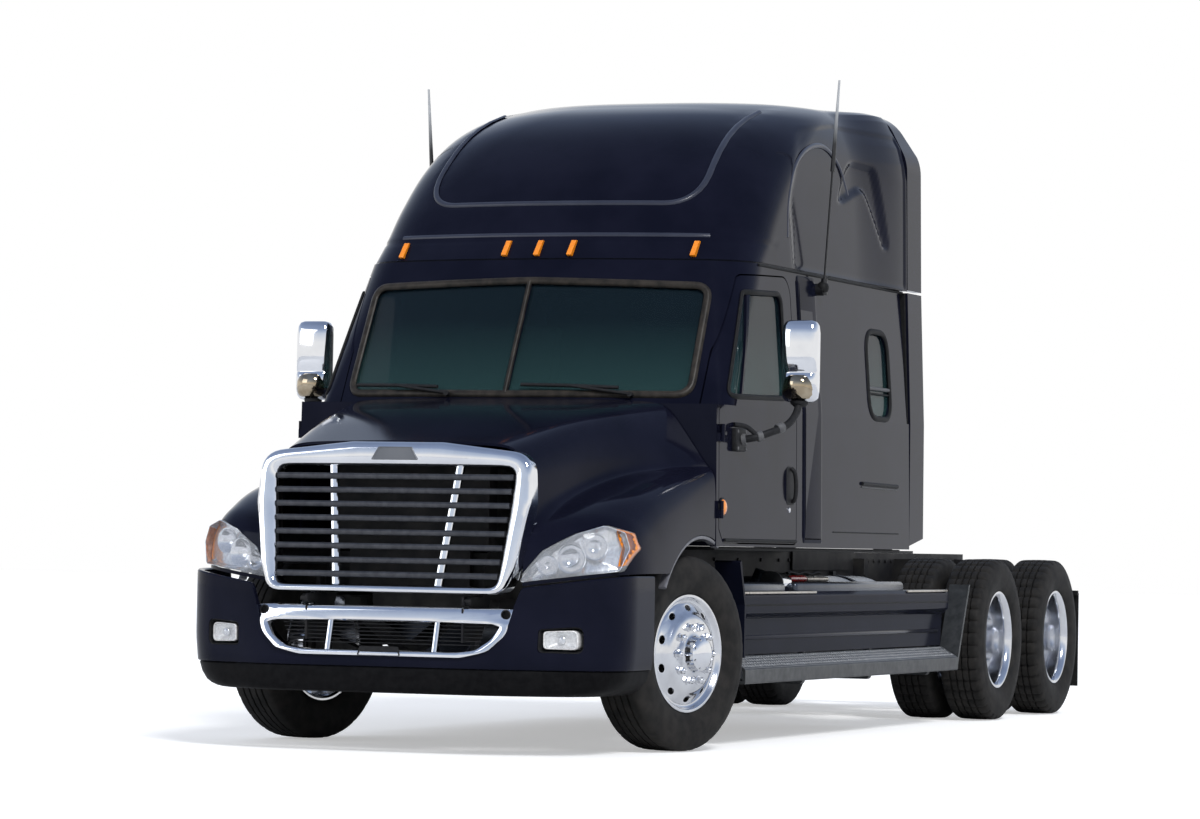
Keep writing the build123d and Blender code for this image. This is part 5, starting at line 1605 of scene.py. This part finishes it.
def make_cab_sides():
    """Pillar strips, handles, hatch trims, signals and antenna feet on the cab's sides."""
    for side, name in sides:
        door = f"door_{name}"
        outward = Vector((side, 0, 0))
        wall_panel(f"pillar_strip_{name}", side, upright_rows(1605, 1925, 1085, 2560, 20, 40), 5, 26,
                   "body_paint", "chassis", colour=dark_paint)
        wall_panel(f"pillar_rib_{name}", side, upright_rows(1610, 1640, 1110, 2530, 8, 8), 9, 8,
                   "body_paint", "chassis", colour=dark_paint)
        # Door handle: dished escutcheon, upright grip and lock
        wall_panel(f"handle_cup_{name}", side, upright_rows(1325, 1455, 1290, 1500, 30, 30), 3, 8,
                   "dark_trim", door, 20)
        grip = ((1408, 1306, 6), (1400, 1330, 26), (1396, 1400, 32), (1392, 1465, 26), (1388, 1490, 6))
        rod(f"handle_grip_{name}", smooth_path([side_place(side, *spot) for spot in grip], 6), 12, 12,
            "dark_trim", door)
        turned(f"handle_lock_{name}", [(0, 0.01), (0, 15), (6, 14), (8, 10), (8, 0.01)],
               side_place(side, 1370, 1262, -1), outward, 20, "chrome", door)
        # Sleeper hatch: seam line and a long recessed pull
        rod(f"hatch_seam_low_{name}", side_run(side, 2130, 3330, 1150, 1, 10), 4, 6, "rubber")
        rod(f"hatch_pull_{name}", side_run(side, 2640, 3300, 1432, 2, 10, -6), 13, 10, "dark_trim",
            flatten=0.9)
        rod(f"hatch_pull_light_{name}", side_run(side, 2640, 3300, 1412, 1, 10, -6), 5, 8, "grey_trim")
        # Round turn signal behind the wheel arch
        signal = side_place(side, 300, 1262, -2)
        turned(f"side_signal_{name}",
               [(0, 0.01), (0, 44), (8, 43), (16, 37), (22, 26), (25, 10), (25.5, 0.01)], signal,
               outward, 32, "lamp_amber", door, 50)
        turned(f"side_signal_rim_{name}", [(0, 42), (0, 52), (7, 51), (10, 46), (9, 42)], signal,
               outward, 32, "dark_trim", door, 50, closed=True)
        # Drip rail along the roof seam, and a strip under the door
        rod(f"seam_rail_{name}", side_run(side, 1000, 3540, 2576, 3, 39), 7, 8, "rubber")
        rod(f"door_foot_{name}", side_run(side, 330, 1480, 1092, 2, 12), 9, 8, "rubber", door)
        # Black ball mount under the antenna
        turned(f"antenna_ball_{name}", [(-36, 0.01), (-34, 14), (-26, 26), (-12, 34), (4, 35), (20, 29),
                                        (30, 18), (36, 8), (37, 0.01)],
               at(side * 1172, 1960, 2512), Vector((0, 0, 1)), 32, "rubber", "chassis", 60)


def make_mirror_arms():
    """Clamps, braces and brackets of the mirrors on the doors."""
    places = [((1215, 528, 1622), (1240, 534, 1626), 30), ((1292, 556, 1638), (1318, 575, 1646), 29),
              ((1370, 655, 1682), (1392, 690, 1697), 28)]
    dome_rows = ((1846, 60, 30), (1852, 76, 52), (1870, 87, 72), (1900, 91, 84), (1935, 88, 84),
                 (1962, 76, 74), (1976, 56, 62))
    for side, name in sides:
        body = f"door_{name}"
        for index, (start, end, radius) in enumerate(places):
            a = at(side * start[0], start[1], start[2])
            b = at(side * end[0], end[1], end[2])
            rod(f"mirror_clamp_{name}_{index}", [a, a.lerp(b, 0.12), a.lerp(b, 0.88), b],
                [radius - 4, radius, radius, radius - 4], 20, "grey_trim", body, 40)
        brace = smooth_path([side_place(side, 470, 1700, 4), at(side * 1245, 520, 1690),
                             at(side * 1290, 552, 1650)], 6)
        rod(f"mirror_brace_{name}", brace, 13, 12, "dark_trim", body)
        for place, z in ((465, 1575), (585, 1575), (465, 1665), (585, 1665)):
            piece_from(f"mirror_bolt_{name}_{place}_{z}",
                       *bolt(side_place(side, place, z, 24), Vector((side, 0, 0)), 11, 8), "grey_trim",
                       body)
        points = []
        for z, half, front in dome_rows:
            for step in range(25):
                turn = math.pi * step / 24
                points.append(at(side * mirror_x + half * math.cos(turn), 845 - front * math.sin(turn), z))
        # Bronze tint on the chrome dome: painted reflection of the ground.
        piece_from(f"mirror_dome_{name}", points, ring_faces(7, 25, caps=True), "chrome", body, 50,
                   colour=dome_painted_reflection)
        turned(f"mirror_base_{name}", [(0, 0.01), (0, 50), (-14, 48), (-30, 30), (-34, 0.01)],
               at(side * mirror_x, 852, 1838), Vector((0, 0, 1)), 32, "dark_trim", body)


def arch_points(side, radius, x, first, last, steps):
    """Points along the wheel arch's edge between two angles in degrees."""
    points = []
    for step in range(steps + 1):
        turn = math.radians(first + (last - first) * step / steps)
        points.append(at(side * x, arch_centre[0] + radius * math.cos(turn),
                         arch_centre[1] + radius * math.sin(turn)))
    return points


def make_arches():
    """Rounded grey lip round each wheel arch, and the dark opening's inner flange."""
    section = ((-34, -3), (-10, 2), (2, 3), (7, -1), (8, -9), (4, -16), (-8, -18), (-34, -14))
    for side, name in sides:
        path = arch_points(side, 661, 1188, 68, 143, 46)
        rings = []
        for place in path:
            radial = Vector((0, place.y - (front_axle_y + arch_centre[0] / 1000),
                             place.z - arch_centre[1] / 1000)).normalized()
            rings += [place + Vector((side * across / 1000, 0, 0)) + radial * out / 1000
                      for across, out in section]
        piece_from(f"arch_lip_{name}", rings, ring_faces(len(path), 8, caps=True), "body_paint", "hood",
                   45, colour=arch_grey)


def make_slats():
    """Thin tapered slats in front of the uprights."""
    edges = edges_of(both_sides(surround_opening_rows), 6)
    section = [(0, -6), (2, -12), (8, -16), (26, -12), (60, -3), (60, 3), (26, 12), (8, 14), (2, 9),
               (0, 3)]
    bars = []
    for index in range(8):
        z = 890 + index * 70
        reach = 0
        for (ax, az), (bx, bz) in edges:
            if (az > z) != (bz > z):
                reach = max(reach, ax + (bx - ax) * (z - az) / (bz - az))
        points = [at(share * (reach - 1), lean_y(z, 14) + back, z + rise)
                  for share in (-1, -0.6, -0.2, 0.2, 0.6, 1) for back, rise in section]
        bars.append((points, ring_faces(6, len(section), caps=True)))
    slats = piece_from("grille_bars", *joined(bars), "chrome", "hood", 40, colour=slat_grey)
    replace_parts(slats, "grille_slats")


def strip_box(name, low, high, radius, finish, colour=None):
    """Rounded strip between two corners, on both sides of the truck at once."""
    part = rounded_box(low, high, radius)
    return piece_from(name, *joined([part, mirrored(part)]), finish, "chassis", 40, colour=colour)


def make_skirts():
    """Trim of the fairings, serrated treads, tank straps, caps and lines beside the frame."""
    # Chrome shelf lines tinted tan: a painted reflection of tan ground.
    strip_box("shelf_line", (1118, 760, 806), (1134, 2060, 819), 4, "chrome", tan_hose_and_painted_reflection)
    strip_box("shelf_line_rear", (1118, 3760, 806), (1134, 4560, 819), 4, "chrome", tan_hose_and_painted_reflection)
    strip_box("skirt_groove", (1131, 730, 742), (1135, 4560, 750), 1.5, "rubber")
    strip_box("skirt_moulding", (1084, 760, 560), (1096, 4500, 582), 5, "body_paint")
    # Raised teeth in rows on the sloping top of each step
    tooth_faces = [(0, 1, 2, 3), (4, 7, 6, 5), (0, 4, 5, 1), (1, 5, 6, 2), (2, 6, 7, 3), (3, 7, 4, 0)]
    teeth = []
    for side in (1, -1):
        for row in range(4):
            across = 1106 + row * 23
            height = 470 - (across - 1090) * 62 / 110
            for index in range(96):
                place = 716 + index * 40 + (row % 2) * 20
                if place > 4560:
                    continue
                base = [at(side * (across + dx), place + dy, height + dz) for dx, dy, dz in
                        ((-8, -13, 4), (8, -13, -5), (8, 13, -5), (-8, 13, 4))]
                top = [at(side * (across + dx), place + dy, height + 7 + dz) for dx, dy, dz in
                       ((-5, -9, 3), (5, -9, -3), (5, 9, -3), (-5, 9, 3))]
                teeth.append((base + top, tooth_faces))
    piece_from("step_teeth", *joined(teeth), "tread_alloy", "chassis", 30)
    plate_faces = [(0, 1, 5, 4), (1, 2, 6, 5), (2, 3, 7, 6), (3, 0, 4, 7), (0, 3, 2, 1), (4, 5, 6, 7)]
    plates = [([at(side * x, y, z) for y in (708, 4572) for x, z in
                ((1092, 472.5), (1192, 414.5), (1192, 411), (1092, 469))], plate_faces)
              for side in (1, -1)]
    piece_from("step_plates", *joined(plates), "tread_alloy", "chassis", 30)
    # Dark grey covers on the tank, before and behind its chrome filler
    strip_box("tank_cover", (950, 800, 800), (1112, 1590, 868), 22, "tank_alloy")
    strip_box("tank_cover_rear", (950, 1775, 800), (1112, 3740, 868), 22, "tank_alloy")
    aft = Vector((0, 1, 0))
    for side, name in sides:
        turned(f"filler_cap_{name}",
               [(0, 0.01), (0, 52), (6, 58), (150, 58), (168, 54), (178, 40), (182, 0.01)],
               at(side * 1030, 1600, 862), aft, 40, "chrome", "chassis")
        turned(f"filler_collar_{name}", [(0, 0.01), (0, 66), (16, 66), (22, 58), (22, 0.01)],
               at(side * 1030, 1580, 862), aft, 40, "dark_trim", "chassis")
        # Straps round the tank
        for index, place in enumerate((1350, 2300, 3450)):
            points = []
            for step in range(33):
                turn = math.pi * (step / 32) * 1.2 - 0.3
                x = side * (765 + 289 * math.cos(turn))
                z = 611 + 289 * math.sin(turn)
                away = Vector((x - side * 765, z - 611)).normalized()
                points += [at(x + away.x * out, place + along, z + away.y * out)
                           for along, out in ((-24, -2), (-24, 3), (24, 3), (24, -2))]
            piece_from(f"tank_strap_{name}_{index}", points, ring_faces(33, 4, caps=True), "grey_trim",
                       "chassis", 40)
        # Air and brake lines held along the rail behind the tank
        line = [at(side * 438, 3560 + 40 * n, 905 + 6 * math.sin(n)) for n in range(16)]
        rod(f"air_line_{name}", line, 9, 8, "rubber", smooth_angle=60)
        line = [at(side * 436, 3560 + 40 * n, 870 + 5 * math.cos(n)) for n in range(16)]
        rod(f"brake_line_{name}", line, 7, 8, "rubber", smooth_angle=60)
    # Stiff coloured rods lying on the tank cover
    for side, name in sides:
        for label, start, end, z, radius, colour in (
                ("red", 1960, 2230, 886, 20, red_lens), ("tan", 2250, 2620, 883, 17, tan_hose_and_painted_reflection)):
            run = [at(side * 1000, start + (end - start) * n / 6, z) for n in range(7)]
            radii = [radius * share for share in (0.8, 1, 1, 0.9, 1, 1, 0.8)]
            rod(f"hose_{label}_{name}", run, radii, 14, "rubber", smooth_angle=60, colour=colour)
    piece_from("cab_underside", *rounded_box((-1150, 330, 1038), (1150, 3530, 1058), 6), "rubber",
               "chassis", 40)


def make_chassis_details():
    """Bolts, deck treads, lamps and fifth wheel details behind the cab."""
    heads = []
    for side in (1, -1):
        for place in [760, 1000, 1180, 1500, 1900, 2300, 2700, 3100, 3420] + list(range(3600, 7160, 118)):
            for z in (820, 985):
                heads.append(bolt(at(side * 430, place, z), Vector((side, 0, 0)), 12, 9))
    for index in range(0, len(heads), 40):
        piece_from(f"rail_bolts_{index // 40}", *joined(heads[index:index + 40]), "chassis_black",
                   "chassis", 30)
    ribs = []
    for row in range(13):
        x = -384 + row * 64
        for index in range(26):
            place = 3680 + index * 42
            dx = 11 if (row + index) % 2 else -11
            ribs.append(tube([at(x - dx, place - 11, 1050), at(x + dx, place + 11, 1050)], [3.2, 3.2], 5,
                             flatten=0.6))
    piece_from("deck_tread", *joined(ribs), "tread_alloy", "chassis", 40)
    aft = Vector((0, 1, 0))
    up = Vector((0, 0, 1))
    bellows_rows = [(560, 0.01), (560, 92), (575, 116), (600, 124), (625, 116), (640, 100), (655, 116),
                    (680, 124), (705, 118), (722, 96), (738, 92), (768, 92), (768, 0.01)]
    chamber_rows = [(0, 0.01), (0, 60), (20, 78), (70, 80), (78, 86), (90, 86), (98, 80), (150, 76),
                    (168, 50), (170, 0.01)]
    for side, name in sides:
        # Round stop, turn and back-up lamps on the tail bar
        for index, (x, finish) in enumerate(((372, "lamp_red"), (285, "lamp_red"), (198, "lamp_clear"))):
            spot = at(side * x, 7258, 900)
            turned(f"tail_lens_{name}_{index}",
                   [(0, 0.01), (0, 38), (6, 38), (11, 33), (14, 20), (15, 0.01)], spot, aft, 32, finish,
                   "chassis", 45, colour=fog_white if finish == "lamp_clear" else None)
            turned(f"tail_bezel_{name}_{index}", [(0, 37), (0, 43), (8, 43), (12, 40), (10, 37)], spot,
                   aft, 32, "rubber", "chassis", 45, closed=True)
        # Air springs: bellows with convolutions
        for index, place in enumerate((5734, 7054)):
            turned(f"bellows_{name}_{index}", [(z - 560, r) for z, r in bellows_rows],
                   at(side * 470, place, 560), up, 36, "rubber", "chassis", 50)
        # Brake chambers behind each drive axle
        for index, place in enumerate(drive_places.values()):
            turned(f"brake_chamber_{name}_{index}", chamber_rows, at(side * 300, place + 50, 560),
                   Vector((0, 1, 0.25)), 28, "cast", "chassis", 45)
        ridges = []
        for n in range(9):
            x = side * (660 + n * 62)
            ridges.append(tube([at(x, 7327, 200), at(x, 7327, 740)], [2.8, 2.8], 6))
        piece_from(f"flap_ribs_{name}", *joined(ridges), "rubber", "chassis", 40)
    # Fifth wheel: grease grooves, lock jaw and release handle
    grooves = []
    for radius in (170, 240, 310):
        path = []
        for step in range(25):
            turn = math.radians(200 + 140 * step / 24)
            path.append(at(radius * 0.98 * math.cos(turn), 5750 + radius * math.sin(turn), 1216.2))
        grooves.append(tube(path, 3, 6))
    piece_from("wheel_grooves", *joined(grooves), "rubber", "fifth_wheel", 40)
    piece_from("wheel_lock", *rounded_box((-70, 5640, 1150), (70, 5722, 1186), 8), "cast",
               "fifth_wheel", 40)
    handle = smooth_path([at(-250, 5600, 1178), at(-360, 5590, 1160), at(-470, 5584, 1150),
                          at(-500, 5620, 1148)], 6)
    rod("wheel_release", handle, 9, 10, "cast", "fifth_wheel")
    for side, name in sides:
        whip = [at(side * (1180 + 70 * (z - 2550) / 1120), 1960, z) for z in range(3160, 3670, 28)]
        radii = [13 - 7 * step / (len(whip) - 1) for step in range(len(whip))]
        rod(f"antenna_sleeve_{name}", whip, radii, 12, "dark_trim", smooth_angle=60, colour=whip_grey)
    # Work lamps on the back wall
    for side, name in sides:
        turned(f"work_lamp_{name}", [(0, 0.01), (0, 52), (30, 52), (44, 44), (48, 30), (50, 0.01)],
               at(side * 640, 3552, 2350), aft, 32, "dark_trim", "chassis")
        turned(f"work_lens_{name}", [(0, 0.01), (0, 40), (4, 38), (6, 20), (6.5, 0.01)],
               at(side * 640, 3600, 2350), aft, 32, "lamp_clear", "chassis", colour=fog_white)


def make_roof_details():
    """Raised beads round the roof's front panel and side panels, and the brow line."""
    arch_rows = ((1500, 2760), (1540, 2960), (1680, 3150), (1930, 3280), (2250, 3330), (2480, 3250),
                 (2600, 3080))
    arch = smooth_path([Vector((*row, 0)) for row in arch_rows], 12)
    corner = rounded([(0, 2905, 0), (810, 2905, 190), (775, 3560, 0)], 24)
    path = []
    for before, after in zip(corner, corner[1:]):
        if after.x < before.x and after.y < before.y:
            continue
        path += [before.lerp(after, step / 8) for step in range(8)]
    for side, name in sides:
        brow = [roof_spot(side * 900 * step / 40, 2722) for step in range(41)]
        edge = [roof_spot(side * spot.x, spot.y) for spot in path if spot.y < 3552 and
                not (spot.x < 1 and spot.y > 2906)]
        curve = [side_spot(side, spot.x, spot.y) for spot in arch]
        for label, line in (("brow_line", bead(brow, 17, 6)), ("panel_bead", bead(edge, 19, 8)),
                            ("arch_bead", bead(curve, 14, 4, side))):
            # Beads take the lighter paint as a painted highlight.
            piece_from(f"{label}_{name}", *line, "body_paint", "chassis", 50, colour=bead_painted_highlight)


def roof_section(z):
    """Front, half width and corner radius of the roof cap at a height."""
    stations = roof_profile(roof_levels)
    for low, high in zip(stations, stations[1:]):
        if low[0] <= z <= high[0]:
            share = (z - low[0]) / (high[0] - low[0])
            return tuple(a + (b - a) * share for a, b in zip(low[1:], high[1:]))
    return stations[-1][1:]


def roof_spot(x, z):
    """Point on the roof cap's front at x and z."""
    front, half, radius = roof_section(z)
    return at(x, front_reach(x, front, half, radius), z)


def side_spot(side, place, z):
    """Point on the roof cap's side at a distance aft and a height."""
    front, half, radius = roof_section(z)
    return at(side * side_reach(place, front, half, radius), place, z)


def bead(path, width, rise, side=0):
    """Low rounded bead laid along a path on the roof, sunk by half its height."""
    points = []
    for index, place in enumerate(path):
        ahead = path[min(index + 1, len(path) - 1)]
        behind = path[max(index - 1, 0)]
        tangent = (ahead - behind).normalized()
        away = Vector((place.x, place.y - at(0, 2600, 0).y, place.z - 2.4))
        away = Vector((side, 0, 0.15)) if side else away
        across = tangent.cross(away).normalized()
        lift = across.cross(tangent).normalized()
        for over, up in ((-1, -0.8), (-0.7, 0.3), (-0.25, 0.9), (0.25, 0.9), (0.7, 0.3), (1, -0.8)):
            points.append(place + across * over * width / 1000 + lift * up * rise / 1000)
    return points, ring_faces(len(path), 6, caps=True)


def make_back_wall():
    """Pressed rear wall of the cab with upright ribs and a middle step."""
    columns = [(-1084, 0)]
    for centre in (-900, -600, -300, 0, 300, 600, 900):
        columns += [(centre - 34, 0), (centre - 24, 6), (centre, 8), (centre + 24, 6), (centre + 34, 0)]
    columns.append((1084, 0))
    levels = [(1068, 0), (1120, 0), (1140, 1), (1640, 1), (1652, 0), (1700, 0), (1712, 1), (2530, 1),
              (2550, 0), (2588, 0)]
    points = [at(x, cab_back + 3 + rise * pressed, z) for z, pressed in levels for x, rise in columns]
    faces = ring_faces(len(levels), len(columns), closed=False)
    piece_from("back_wall", points, faces, "body_paint", "chassis", 40, (shell(0.0024, 0.0),))
    # Rubber seals between the cab's rear corners and the extenders
    for side, name in sides:
        points = []
        for z, outer in ((1100, 1184), (1500, 1181), (1800, 1179), (2200, 1162), (2574, 1148)):
            for x, place in ((1050, 3534), (outer, 3534), (outer + 4, 3548), (outer, 3562),
                             (1050, 3552)):
                points.append(at(side * x, place, z))
        piece_from(f"extender_seal_{name}", points, ring_faces(5, 5, caps=True), "rubber", "chassis", 30)


def combined(tree, operation, first, second, clamp=False):
    """Output of a maths node over a factor and a second factor or number."""
    node = tree.nodes.new("ShaderNodeMath")
    node.operation = operation
    node.use_clamp = clamp
    tree.links.new(first, node.inputs[0])
    if isinstance(second, float):
        node.inputs[1].default_value = second
    else:
        tree.links.new(second, node.inputs[1])
    return node.outputs[0]


def make_light():
    """White surround to the camera, a blue-grey studio sky, a soft sun and a fill light."""
    world = bpy.data.worlds.new("studio")
    bpy.context.scene.world = world
    world.use_nodes = True
    tree = world.node_tree
    background = tree.nodes["Background"]
    coordinates = tree.nodes.new("ShaderNodeTexCoord")
    split = tree.nodes.new("ShaderNodeSeparateXYZ")
    tree.links.new(coordinates.outputs["Generated"], split.inputs["Vector"])
    ramp = ramp_between(tree, split.outputs["Z"], (1, 1, 1, 1), (0.2, 0.26, 0.4, 1), 0.0, 1.0)
    for position, colour in ((0.17, (1, 1, 1, 1)), (0.3, (0.62, 0.7, 0.84, 1)),
                             (0.55, (0.3, 0.38, 0.56, 1))):
        ramp.color_ramp.elements.new(position).color = colour
    path = tree.nodes.new("ShaderNodeLightPath")
    seen = combined(tree, "ADD", path.outputs["Is Camera Ray"], path.outputs["Is Glossy Ray"])
    also = combined(tree, "ADD", seen, path.outputs["Is Transmission Ray"], True)
    mix = tree.nodes.new("ShaderNodeMix")
    mix.data_type = "RGBA"
    mix.inputs["A"].default_value = (0.5, 0.54, 0.62, 1)
    tree.links.new(ramp.outputs["Color"], mix.inputs["B"])
    tree.links.new(also, mix.inputs["Factor"])
    tree.links.new(mix.outputs["Result"], background.inputs["Color"])
    background.inputs["Strength"].default_value = 1.0
    sun = bpy.data.lights.new("key", "SUN")
    sun.energy = 2.1
    sun.angle = math.radians(14)
    key = bpy.data.objects.new("key", sun)
    key.rotation_euler = Vector((-0.55, 0.6, -0.75)).to_track_quat("-Z", "Y").to_euler()
    bpy.context.scene.collection.objects.link(key)
    fill_data = bpy.data.lights.new("fill", "AREA")
    fill_data.shape = "RECTANGLE"
    fill_data.size = 12
    fill_data.size_y = 7
    fill_data.energy = 500
    fill = bpy.data.objects.new("fill", fill_data)
    fill.location = (-13, -15, 8)
    fill.rotation_euler = (Vector((0, 0, 1.5)) - fill.location).to_track_quat("-Z", "Y").to_euler()
    bpy.context.scene.collection.objects.link(fill)


def make_floor():
    """Plain pale floor under the truck, white where it is lit and grey in the shadow."""
    mesh = bpy.data.meshes.new("floor")
    reach = 90
    mesh.from_pydata([(-reach, -reach, 0), (reach, -reach, 0), (reach, reach, 0), (-reach, reach, 0)],
                     [], [(0, 1, 2, 3)])
    floor = bpy.data.objects.new("floor", mesh)
    bpy.context.scene.collection.objects.link(floor)
    material = surface("floor_paint", (0.78, 0.78, 0.78), (0.82, 0.82, 0.82), roughness=0.8, grain=1.0,
                       specular=0.1)
    tree, links, shader = node_chain(material)
    path = tree.nodes.new("ShaderNodeLightPath")
    seen = combined(tree, "ADD", path.outputs["Is Camera Ray"], path.outputs["Is Transmission Ray"])
    glow = tree.nodes.new("ShaderNodeEmission")
    links.new(combined(tree, "MULTIPLY", seen, 0.42), glow.inputs["Strength"])
    both = tree.nodes.new("ShaderNodeAddShader")
    links.new(shader.outputs[0], both.inputs[0])
    links.new(glow.outputs[0], both.inputs[1])
    links.new(both.outputs[0], tree.nodes["Material Output"].inputs["Surface"])
    floor.data.materials.append(material)


make_hood()
make_headlamps()
make_wheels()
make_grille()
make_mirrors()
make_roof()
make_bumper()
make_window_seals()
make_cab_sides()
make_mirror_arms()
make_arches()
make_slats()
make_skirts()
make_chassis_details()
make_roof_details()
make_back_wall()
drop_cutters()
make_light()
make_floor()
